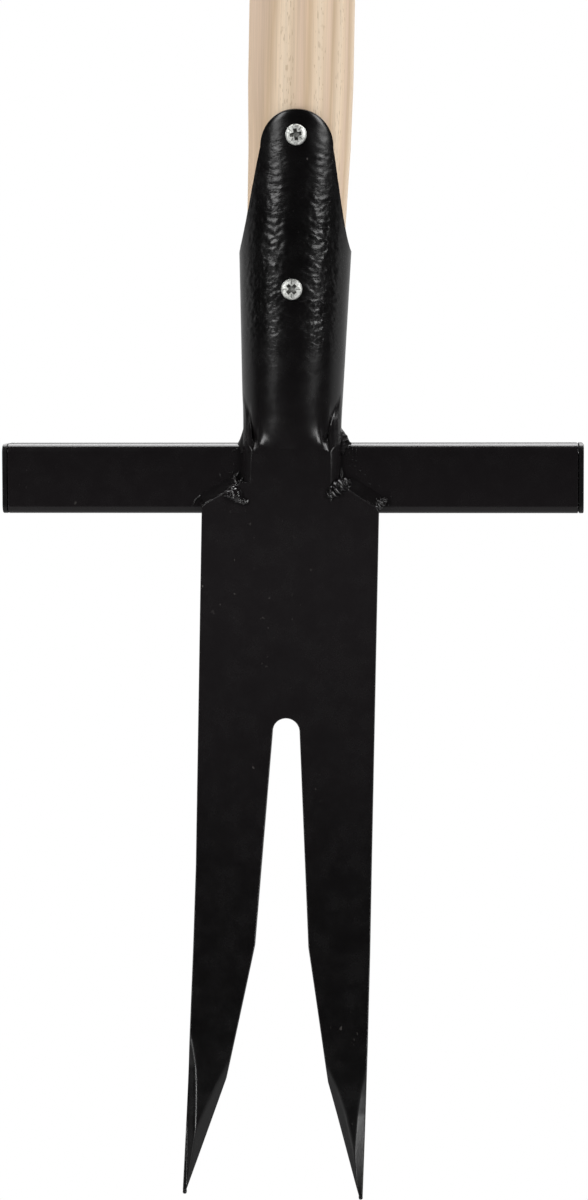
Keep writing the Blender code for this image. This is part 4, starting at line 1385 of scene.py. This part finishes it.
    def dress(self, zinc: Material) -> None:
        """Builds the screw and puts it in place."""
        hand_over(self.build(zinc), zinc, "zinc", self.node)


@dataclass
class Bead:
    """One rippled pass of weld, in millimetres: its path, thickness and the pitch of its ripples."""

    path: list[tuple[float, float, float]]
    radius: float
    pitch: float = 1.15
    tilt: float = 0.5
    ripple: float = 0.78


@dataclass
class Fillet:
    """Hollow run of weld in a corner, in millimetres: the corner's line and the two legs."""

    path: list[tuple[float, float, float]]
    first: tuple[float, float, float]
    second: tuple[float, float, float]
    hollow: float = 1.0
    ends: float = 0.45

    def rings(self, seed: int) -> list[list[Vector]]:
        """Closed sections along the corner, in millimetres.

        Args:
            seed: Seeds the fillet's uneven width.

        Returns:
            The sections, one every third of a millimetre.
        """
        spots = [Vector(point) for point in self.path]
        runs = [(ahead - here).length for here, ahead in zip(spots, spots[1:])]
        length = sum(runs)
        first, second = Vector(self.first), Vector(self.second)
        sunk = -(first.normalized() + second.normalized()) * 0.25
        rings = []
        steps = max(4, round(length / SECTION_STEP))
        for step in range(steps + 1):
            along = length * step / steps
            leg, left = 0, along
            while leg < len(runs) - 1 and left > runs[leg]:
                left -= runs[leg]
                leg += 1
            corner = spots[leg].lerp(spots[leg + 1], clamp(left / runs[leg]))
            end = clamp(min(along, length - along) / 2.2)
            size = mix(self.ends, 1.0, sin(pi / 2 * end)) * uneven(along, seed, 0.04)
            ring = [corner + sunk]
            for turn in quarter_turns(8):
                ring.append(corner + first * size * cos(turn) ** self.hollow
                            + second * size * max(sin(turn), 0) ** self.hollow)
            rings.append(ring)
        return rings


@dataclass
class Collar:
    """Hollow run of weld between the socket's side and the bar's top, in millimetres."""

    head: ForkHead
    side: Side
    out: float
    up: float
    hollow: float
    rough: float
    start: float = -13.0
    end: float = 9.4
    sunk: float = 0.9
    run_in: float = 9.0
    beside: float = 19.0

    def floor(self, x: float, y: float) -> float:
        """Height of the bar's top, with its rounded front edge."""
        tread = self.head.tread
        corner = tread.corner / MM
        past = clamp((corner - tread.size / 2 / MM - y) / corner)
        return tread.top / MM + x * tan(tread.tilt) - corner * (1 - (1 - past ** 2) ** 0.5)

    def rings(self, seed: int) -> list[list[Vector]]:
        """Closed sections from the bar's front to behind the socket, in millimetres.

        Args:
            seed: Seeds the run's uneven width.

        Returns:
            The sections, one every third of a millimetre.
        """
        rings = []
        steps = round((self.end - self.start) / SECTION_STEP)
        for step in range(steps + 1):
            y = mix(self.start, self.end, step / steps)
            size = mix(0.3, 1.0, sin(pi / 2 * clamp((y - self.start) / self.run_in)))
            size *= mix(0.6, 1.0, clamp((self.end - y) / 2))
            size *= uneven(y, seed, 0.12)
            low = self.floor(self.side.value * self.beside, y) - 0.2
            outside, inside = [], []
            for turn in quarter_turns(8):
                z = low + self.up * size * sin(turn) ** self.hollow
                wall = self.head.side_at(self.side, y * MM, z * MM) / MM
                reach = self.out * size * max(cos(turn), 0) ** self.hollow
                reach += self.rough * noise.noise(Vector((seed * 3.1, y * 0.9, z * 0.9))) * sin(2 * turn)
                outside.append(Vector((wall + self.side.value * (reach - 0.1), y, z)))
                inside.append(Vector((wall - self.side.value * self.sunk, y, z)))
            rings.append(outside + inside[::-1])
        return rings


@dataclass
class Weld:
    """Weld made of fillets, rippled passes, drops and spatter, under one coat of paint."""

    node: str
    seed: int
    fillets: list[Fillet | Collar]
    beads: list[Bead]
    drops: list[tuple[float, float, float, float]]
    spatter: list[tuple[tuple[float, float, float], float]]
    voxel: float = 0.16 * MM
    easing: int = 9
    scatter: int = 3

    def run_fillet(self, fillet: Fillet | Collar, number: int) -> Piece:
        """Builds one fillet as a closed body."""
        rings = [[point * MM for point in ring] for ring in fillet.rings(self.seed + number)]
        return lofted(f"{self.node}_fillet_{number}", rings)

    def lay(self, bead: Bead, number: int, coat: Material) -> Piece:
        """Lays one pass as overlapping ripples along its path.

        Args:
            bead: The pass.
            number: Its place in the weld, which seeds its small differences.
            coat: Material of the weld.

        Returns:
            The pass, still made of separate ripples.
        """
        sizes = {"Radius": bead.radius * MM, "Pitch": bead.pitch * MM, "Wander": 0.14}
        tree = GeometryTree("weld_pass", sizes, coat)
        entry = tree.entry
        curve = tree.add("GeometryNodeMeshToCurve", {0: entry["Geometry"]}).outputs[0]
        curve = tree.add("GeometryNodeResampleCurve", {"Curve": curve, "Length": entry["Pitch"]},
                         mode="LENGTH").outputs[0]
        share = tree.add("GeometryNodeSplineParameter").outputs[0]
        phase = tree.times(tree.plus(tree.times(share, 0.76), 0.12), pi)
        swell = tree.math("POWER", tree.math("SINE", phase), 0.5)
        wander = tree.add("FunctionNodeRandomValue", {"Seed": self.seed + number}, data_type="FLOAT")
        spread = tree.plus(1.0, tree.times(tree.minus(wander.outputs[1], 0.5),
                                           tree.times(entry["Wander"], 2.0)))
        width = tree.times(entry["Radius"], swell, spread)
        size = tree.join(width, width, tree.times(entry["Pitch"], bead.ripple))
        tangent = tree.add("GeometryNodeInputTangent").outputs[0]
        outward = tree.vectors("ADD", tangent, (0.0, -bead.tilt, 0.0))
        facing = tree.add("FunctionNodeAlignRotationToVector", {"Vector": outward}, axis="Z")
        ripple = tree.add("GeometryNodeMeshUVSphere", {"Segments": 28, "Rings": 16, "Radius": 1.0})
        laid = tree.add("GeometryNodeInstanceOnPoints", {"Points": curve, "Instance": ripple.outputs[0],
                                                         "Rotation": facing.outputs[0], "Scale": size})
        path = bpy.data.meshes.new("path")
        path.from_pydata([[value * MM for value in point] for point in bead.path],
                         [(here, here + 1) for here in range(len(bead.path) - 1)], [])
        return tree.run_on(placed(f"{self.node}_pass_{number}", path), laid.outputs[0])

    def throw(self, coat: Material) -> Piece:
        """Sets the drops and scatters spatter round given places, always the same way."""
        chance = random.Random(self.seed)
        spots = list(self.drops)
        for (x, y, z), spread in self.spatter:
            for _ in range(self.scatter):
                spots.append((x + chance.uniform(-spread, spread), y, z + chance.uniform(-spread, spread),
                              chance.uniform(0.2, 0.42)))
        tree = GeometryTree("weld_spatter", {"Size": 1.0}, coat)
        entry = tree.entry
        points = tree.add("GeometryNodeMeshToPoints", {"Mesh": entry["Geometry"]}).outputs[0]
        radius = tree.add("GeometryNodeInputNamedAttribute", {"Name": "drop_radius"}, data_type="FLOAT")
        drop = tree.add("GeometryNodeMeshIcoSphere", {"Radius": 1.0, "Subdivisions": 3})
        size = tree.times(radius.outputs[0], entry["Size"])
        laid = tree.add("GeometryNodeInstanceOnPoints", {"Points": points, "Instance": drop.outputs[0],
                                                         "Scale": size})
        cloud = bpy.data.meshes.new("spatter")
        cloud.from_pydata([[value * MM for value in spot[:3]] for spot in spots], [], [])
        sizes = cloud.attributes.new("drop_radius", "FLOAT", "POINT")
        for entry_size, spot in zip(sizes.data, spots):
            entry_size.value = spot[3] * MM
        return tree.run_on(placed(f"{self.node}_spatter", cloud), laid.outputs[0])

    def build(self, coat: Material) -> Piece:
        """Fuses fillets, passes and drops into one body, as a coat of paint does."""
        parts = [self.run_fillet(fillet, number) for number, fillet in enumerate(self.fillets)]
        parts += [self.lay(bead, number, coat) for number, bead in enumerate(self.beads)]
        parts.append(self.throw(coat))
        joined = bmesh.new()
        for part in parts:
            joined.from_mesh(part.data)
            bpy.data.objects.remove(part)
        made = finish_mesh(f"{self.node}_coated", joined, sharp=180)
        fuse = made.modifiers.new("fuse", "REMESH")
        fuse.mode = "VOXEL"
        fuse.voxel_size = self.voxel
        fuse.use_smooth_shade = True
        ease = made.modifiers.new("ease", "SMOOTH")
        ease.factor = 0.5
        ease.iterations = self.easing
        settle(made)
        return made

    def dress(self, coat: Material) -> None:
        """Builds the weld and puts it in place."""
        hand_over(self.build(coat), coat, "coated_weld", self.node)


@dataclass
class Handle:
    """Turned ash shaft with a T grip, held by a wedged through tenon."""

    head: ForkHead
    screws: Sequence[WoodScrew]
    diameter: float = 38.0 * MM
    lift: float = 1.0 * MM
    length: float = 822.0 * MM
    top_diameter: float = 30.0 * MM
    top_taper: float = 150.0 * MM
    tenon: float = 23.0 * MM
    proud: float = 0.8 * MM
    grip_length: float = 130.0 * MM
    grip_diameter: float = 39.0 * MM
    grip_end: float = 29.0 * MM
    grip_round: float = 9.0 * MM
    seat_depth: float = 5.0 * MM
    wedge: tuple[float, float, float] = (2.6 * MM, 18.0 * MM, 22.0 * MM)

    def __post_init__(self) -> None:
        """Works out the places that follow from the sizes."""
        self.foot = self.head.tube_start + self.lift
        self.full = self.head.ring + self.head.necking
        self.middle = self.foot + self.length
        self.crown = self.middle + self.grip_diameter / 2 + self.proud

    def radius(self, height: float) -> float:
        """Radius of the shaft below its full part."""
        return self.head.radius(height) - self.head.wall - FIT

    def flush_cutter(self) -> Piece:
        """Half a tube along X that trims what stands out of the grip's round top."""
        radius = self.grip_diameter / 2 + self.proud
        roof = self.middle + self.grip_diameter
        section = arc((0, self.middle), radius, 0, pi, 48) + [(-radius, roof), (radius, roof)]
        return lofted("flush", [[Vector((x, y, z)) for y, z in section] for x in (radius, -radius)])

    def wedge_block(self, margin: float) -> Piece:
        """The driven wedge, or with a margin the kerf that takes it."""
        thick, width, depth = self.wedge
        deep = width / 2 + margin
        return block("tenon_wedge_beech", ((self.crown - depth - margin, thick / 6 + margin, deep),
                                           (self.crown + 10 * FIT, thick / 2 + margin, deep)))

    def build_shaft(self) -> Piece:
        """Cone in the socket, full round above, long taper and a split tenon."""
        seat = self.middle - self.grip_diameter / 2 + self.seat_depth
        top = self.middle + self.grip_diameter
        full, slim, tenon = self.diameter / 2, self.top_diameter / 2, self.tenon / 2
        chamfer = 1.0 * MM
        profile = [(0, self.foot), (self.radius(self.foot) - chamfer, self.foot)]
        profile += [(self.radius(height), height) for height in (self.foot + chamfer, self.head.ring)]
        profile += [(self.radius(height), height) for height in (self.head.cap_start, self.full)]
        straight = seat - self.top_taper
        profile += [(full, mix(self.full, straight, share)) for share in shares(8, 1)[:-1]]
        for share in shares(16):
            ease = share * share * (3 - 2 * share)
            profile.append((mix(full, slim, ease), mix(straight, seat, share)))
        profile += [(tenon, seat), (tenon, top), (0, top)]
        rod = turned(profile, 96)
        for vertex in rod.verts:
            vertex.co.x += self.head.middle(vertex.co.z)
        made = finish_mesh("handle_shaft_ash", rod)
        for screw in self.screws:
            reach = self.diameter + screw.length + screw.seat
            drill(made, screw.radius + FIT, reach, screw.entry(self.diameter), 24)
        cut(made, self.wedge_block(FIT))
        cut(made, self.flush_cutter())
        return even_normals(made)

    def build_grip(self) -> Piece:
        """Turned barrel, bored for the tenon and let in for the shaft's shoulder."""
        half, end = self.grip_length / 2, self.grip_end / 2
        side = []
        for share in shares(20):
            radius = mix(end, self.grip_diameter / 2, cos(pi / 2 * share) ** 1.5)
            side.append((radius, (half - self.grip_round) * share))
        bow = arc((end - self.grip_round, half - self.grip_round), self.grip_round, 0, pi / 2, 10)
        side += bow[1:] + [(0, half)]
        profile = [(radius, -x) for radius, x in reversed(side)] + side[1:]
        place = Matrix.Translation((0, 0, self.middle)) @ Matrix.Rotation(pi / 2, 4, "Y")
        made = finish_mesh("t_grip_ash", turned(profile, 96), place)
        for radius, foot, rise in ((self.tenon / 2, -self.grip_diameter, 2 * self.grip_diameter),
                                   (self.top_diameter / 2, -self.grip_diameter,
                                    self.grip_diameter / 2 + self.seat_depth + FIT)):
            drill(made, radius + FIT, rise, Matrix.Translation((0, 0, self.middle + foot)), 96)
        return even_normals(made)

    def dress(self, shaft: Material, grip: Material, wedge: Material) -> None:
        """Builds shaft, grip and wedge and puts them in place."""
        hand_over(self.build_shaft(), shaft, "ash", "handle_shaft")
        hand_over(self.build_grip(), grip, "ash", "t_grip")
        driven = self.wedge_block(0.0)
        cut(driven, self.flush_cutter())
        hand_over(driven, wedge, "beech", "tenon_wedge")


@dataclass(frozen=True)
class Lamp:
    """Soft area lamp, placed round the tool by direction."""

    name: str
    azimuth: float
    elevation: float
    distance: float
    size: tuple[float, float]
    power: float

    def place(self, aim: Vector) -> None:
        """Makes the lamp, turned towards the aim."""
        light = bpy.data.lights.new(self.name, "AREA")
        light.shape = "RECTANGLE"
        light.size, light.size_y = self.size
        light.energy = self.power
        lamp = placed(self.name, light)
        way = direction(self.azimuth, self.elevation)
        lamp.location = aim + way * self.distance
        lamp.rotation_euler = way.to_track_quat("Z", "Y").to_euler()
        lamp.visible_camera = False


def direction(azimuth: float, elevation: float) -> Vector:
    """Unit vector towards a place round the tool, in degrees from its front."""
    turn, rise = radians(azimuth), radians(elevation)
    return Vector((sin(turn) * cos(rise), -cos(turn) * cos(rise), sin(rise)))


@dataclass
class Studio:
    """Pale floor, white surroundings, soft lamps and the portrait camera."""

    aim: Vector = field(default_factory=lambda: Vector((0.001, 0.0, 0.2166)))
    azimuth: float = 3.5
    elevation: float = 4.3
    distance: float = 1.2
    roll: float = radians(1.06)
    lens: float = 98.63
    film_height: float = 36.0
    floor_height: float = -0.52
    floor_radius: float = 1.75
    floor_glow: float = 0.55
    front_light: float = 0.30
    back_light: float = 1.34
    dark_side: float = 0.03
    bright_side: float = 0.47
    overhead: float = 6.4
    glow_heights: tuple[float, float] = (0.25, 0.65)
    glow_depths: tuple[float, float] = (0.03, 0.33)
    glow_sides: tuple[float, float] = (0.84, 0.64)
    side_depths: tuple[float, float] = (-0.1, 0.4)
    light_depths: tuple[float, float] = (-0.6, 0.6)
    lamps: tuple[Lamp, ...] = (
        Lamp("left_softbox", 3.5 - 47, 24, 1.6, (0.40, 0.95), 9.4),
        Lamp("right_softbox", 3.5 + 47, 24, 1.6, (0.40, 0.95), 11.0),
        Lamp("top_softbox", 180, 80, 1.3, (0.70, 0.40), 7.5),
        Lamp("left_low_softbox", 3.5 - 47, -17, 1.6, (0.22, 0.16), 3.4),
        Lamp("right_low_softbox", 3.5 + 47, -18, 1.6, (0.24, 0.16), 2.6),
    )

    def camera(self) -> None:
        """Sets the camera at the photograph's angle, with its slight roll."""
        data = bpy.data.cameras.new("portrait")
        data.sensor_fit = "VERTICAL"
        data.sensor_height = self.film_height
        data.lens = self.lens
        back = direction(self.azimuth, self.elevation)
        level = Vector((cos(radians(self.azimuth)), sin(radians(self.azimuth)), 0))
        upright = back.cross(level)
        right = level * cos(self.roll) + upright * sin(self.roll)
        up = upright * cos(self.roll) - level * sin(self.roll)
        turn = Matrix((right, up, back)).transposed().to_4x4()
        camera = placed("portrait", data)
        camera.matrix_world = Matrix.Translation(self.aim + back * self.distance) @ turn
        bpy.context.scene.camera = camera

    def world(self) -> None:
        """White surroundings, with the dark side of the studio behind the camera."""
        world = bpy.data.worlds.new("white_studio")
        world.use_nodes = True
        world.cycles.sampling_method = "NONE"
        bpy.context.scene.world = world
        world.node_tree.nodes.clear()
        nodes = Nodes(world.node_tree)
        ray = nodes.add("ShaderNodeLightPath").outputs
        x, y, z = nodes.split(nodes.add("ShaderNodeTexCoord").outputs["Generated"])
        overhead = nodes.times(nodes.ranged(z, *self.glow_heights, 0.0, self.overhead),
                               nodes.ranged(y, *self.glow_depths),
                               nodes.ranged(nodes.math("ABSOLUTE", x), *self.glow_sides))
        studio = nodes.plus(nodes.ranged(y, *self.side_depths, self.dark_side, self.bright_side), overhead)
        seen = nodes.plus(ray["Is Camera Ray"], ray["Is Transmission Ray"])
        shown = nodes.plus(seen, nodes.times(ray["Is Glossy Ray"], studio))
        either = nodes.math("MAXIMUM", seen, ray["Is Glossy Ray"])
        around = nodes.ranged(y, *self.light_depths, self.front_light, self.back_light)
        strength = nodes.plus(shown, nodes.times(nodes.minus(1.0, either), around))
        back = nodes.add("ShaderNodeBackground", {"Color": (1.0, 1.0, 1.0, 1.0), "Strength": strength})
        nodes.add("ShaderNodeOutputWorld", {0: back.outputs[0]})

    def floor(self) -> None:
        """Pale round floor well below the hanging tool, white to the camera but for shadows."""
        shape = bmesh.new()
        bmesh.ops.create_circle(shape, cap_ends=True, segments=96, radius=self.floor_radius)
        mesh = bpy.data.meshes.new("floor")
        shape.to_mesh(mesh)
        shape.free()
        floor = placed("floor", mesh)
        floor.location = (0, 0, self.floor_height)
        pale = bpy.data.materials.new("pale_floor")
        pale.use_nodes = True
        pale.node_tree.nodes.clear()
        nodes = Nodes(pale.node_tree)
        matt = nodes.add("ShaderNodeBsdfDiffuse", {"Color": (0.45, 0.45, 0.45, 1.0)})
        ray = nodes.add("ShaderNodeLightPath").outputs
        strength = nodes.times(ray["Is Camera Ray"], self.floor_glow)
        glow = nodes.add("ShaderNodeEmission", {"Strength": strength})
        both = nodes.add("ShaderNodeAddShader", {0: matt.outputs[0], 1: glow.outputs[0]})
        nodes.add("ShaderNodeOutputMaterial", {0: both.outputs[0]})
        mesh.materials.append(pale)

    def build(self) -> None:
        """Sets up camera, world, floor and lamps."""
        bpy.context.scene.view_settings.view_transform = "Standard"
        self.camera()
        self.world()
        self.floor()
        for lamp in self.lamps:
            lamp.place(self.aim)
        LOG.info("camera at azimuth %.1f, elevation %.1f, roll %.2f degrees", self.azimuth,
                 self.elevation, degrees(self.roll))


def welds(head: ForkHead) -> list[Weld]:
    """The four welds of the photographed tool, in millimetres.

    Args:
        head: The head, for the places of the bar and the shoulders.

    Returns:
        The welds, ready to be dressed.
    """
    face = -head.tread.size / 2 / MM
    plate = head.back / MM
    inner = (head.neck_width / 2 / MM, plate, head.shoulder_in / MM)
    outer = (head.blade_width / 2 / MM, plate, head.shoulder_out / MM)
    rise = atan2(inner[2] - outer[2], outer[0] - inner[0])

    def shoulder(side: Side, near: float, far: float, leg: float) -> Fillet:
        """Fillet along a shoulder, over the shares of its length from near to far."""
        ends = [(side.value * mix(inner[0], outer[0], share), plate, mix(inner[2], outer[2], share))
                for share in (near, far)]
        across = (side.value * leg * sin(rise), 0.0, leg * cos(rise))
        return Fillet(ends, (0.0, -3.4, 0.0), across, hollow=2.0)

    return [
        Weld("weld_shoulder_right", 3, [shoulder(Side.RIGHT, 0.02, 1.04, 4.4)], [
            Bead([(14.6, -16.8, 256.2), (17.2, -16.6, 258.4), (20.2, -15.4, 260.8)], 2.7, 1.5, 0.75, 0.55),
            Bead([(18.2, -13.6, 261.6), (18.0, -13.2, 265.2)], 0.75, 0.9, 0.5, 0.6),
            Bead([(31.2, -14.8, 252.4), (32.6, -14.4, 253.4), (34.2, -13.8, 254.6)], 1.75, 1.2, 0.75, 0.55),
        ], [(14.6, -16.8, 254.0, 0.55), (13.8, -16.8, 255.1, 0.4), (27.5, -13.2, 257.4, 0.45)],
            [((25, face, 263), 3.0), ((30, face, 259.5), 2.5), ((36, face, 254.5), 2.0),
             ((23, face, 265), 3.0), ((28, face, 261), 2.5), ((21.5, face, 267), 2.0)]),
        Weld("weld_shoulder_left", 11, [shoulder(Side.LEFT, 0.02, 1.02, 3.8)], [
            Bead([(-18.9, -16.6, 253.4), (-20.7, -16.4, 257.6)], 2.5, 0.7, 0.2, 1.4),
            Bead([(-23.4, -16.8, 255.2), (-20.6, -17.2, 255.6)], 1.5, 0.5, 0.0, 1.4),
            Bead([(-18.2, -17.0, 252.9), (-15.4, -17.0, 252.9)], 1.3, 0.5, 0.0, 1.4),
            Bead([(-20.6, -13.4, 261.6), (-19.4, -13.2, 263.0)], 0.7, 0.5, 0.0, 1.4),
            Bead([(-18.6, -13.6, 259.4), (-17.6, -14.0, 260.6)], 0.7, 0.5, 0.0, 1.4),
            Bead([(-35.6, face, 250.8), (-34.6, face, 253.0), (-32.2, face, 255.2), (-28.2, face, 256.8)],
                 0.42, 0.5),
        ], [(-15.4, -16.8, 253.4, 0.7), (-17.6, -14.2, 261.0, 0.45), (-20.6, -13.2, 261.4, 0.4)],
            [((-21, face, 263), 2.0), ((-24, face, 260.5), 2.0), ((-19.8, face, 266), 1.2)]),
        Weld("weld_socket_right", 23, [Collar(head, Side.RIGHT, 3.7, 5.8, 1.8, 0.7, run_in=4.0)], [
            Bead([(18.4, -12.6, 270.8), (18.4, -12.4, 275.0)], 0.9, 0.9, 0.6, 0.6),
            Bead([(16.9, -8.0, 277.6), (17.0, 0.0, 278.0), (15.6, 6.0, 277.6)], 1.0, 1.2, 0.0),
        ], [(19.2, -11.6, 277.0, 0.55), (19.9, -11.8, 275.4, 0.6), (20.9, -11.6, 274.4, 0.6),
            (18.2, -11.4, 278.2, 0.45), (20.2, -12.4, 272.8, 0.5), (19.6, -12.6, 270.2, 0.45)],
            [((20, face, 272), 1.4), ((22, face, 272.2), 1.4), ((20.6, face, 269.8), 1.6),
             ((22.6, face, 269.4), 1.8), ((19.8, face, 268), 1.2), ((23.8, face, 271.2), 1.6)]),
        Weld("weld_socket_left", 31, [Collar(head, Side.LEFT, 2.8, 6.2, 2.4, 0.05, run_in=4.0)], [],
             [(-19.8, -12.4, 271.6, 0.4), (-20.6, -12.5, 271.0, 0.3)],
             [((-20.4, face, 271.6), 1.0), ((-21.6, face, 270.8), 1.0)]),
    ]


def main() -> None:
    """Builds and dresses every piece, then sets up the studio."""
    logging.basicConfig(level=logging.INFO, format="%(name)s: %(message)s")
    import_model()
    tread = Tread()
    head = ForkHead(tread)
    upper = head.tongue_top - head.screw_drop
    lower = upper - head.screw_spacing
    screws = [WoodScrew("upper_screw", 0.0, upper, radians(10), -head.radius(upper) - FIT),
              WoodScrew("lower_screw", -0.6 * MM, lower, radians(-45), -head.radius(lower) - FIT)]
    coat = PowderCoat("black_powder_coat", specular=0.42, wrinkles=(288 * MM, 388 * MM)).material()
    # painted light: the bar and weld coats each carry their own level of the lighter tone
    bar_coat = PowderCoat("black_powder_coat_bar", specular=0.3, painted_light_tone=(0.0086, 0.0072, 0.0079)).material()
    weld_coat = PowderCoat("black_powder_coat_weld", specular=0.55, gloss_roughness=0.12, dull_roughness=0.20,
                           painted_light_tone=(0.0052, 0.0043, 0.0047), peel_depth=0.006 * MM).material()
    collar_coat = PowderCoat("black_powder_coat_collar", specular=0.10, gloss_roughness=0.34,
                             dull_roughness=0.42, peel_depth=0.03 * MM).material()
    zinc = ZincPlate("bright_zinc").material()
    head.dress(coat, screws)
    tread.dress(bar_coat, MouldedPlastic("moulded_black_plastic").material())
    for weld in welds(head):
        weld.dress(collar_coat if "socket" in weld.node else weld_coat)
    for screw in screws:
        screw.dress(zinc)
    woods = (AshWood("ash_shaft"), AshWood("ash_grip", Grain.ACROSS, shift=(0.02, 0.05, 0.3)),
             AshWood("beech_wedge", tone=0.74, ring_width=3.0 * MM, shift=(0.4, 0.2, 0.0)))
    Handle(head, screws).dress(*(wood.material() for wood in woods))
    Studio().build()


if __name__ == "__main__":
    main()
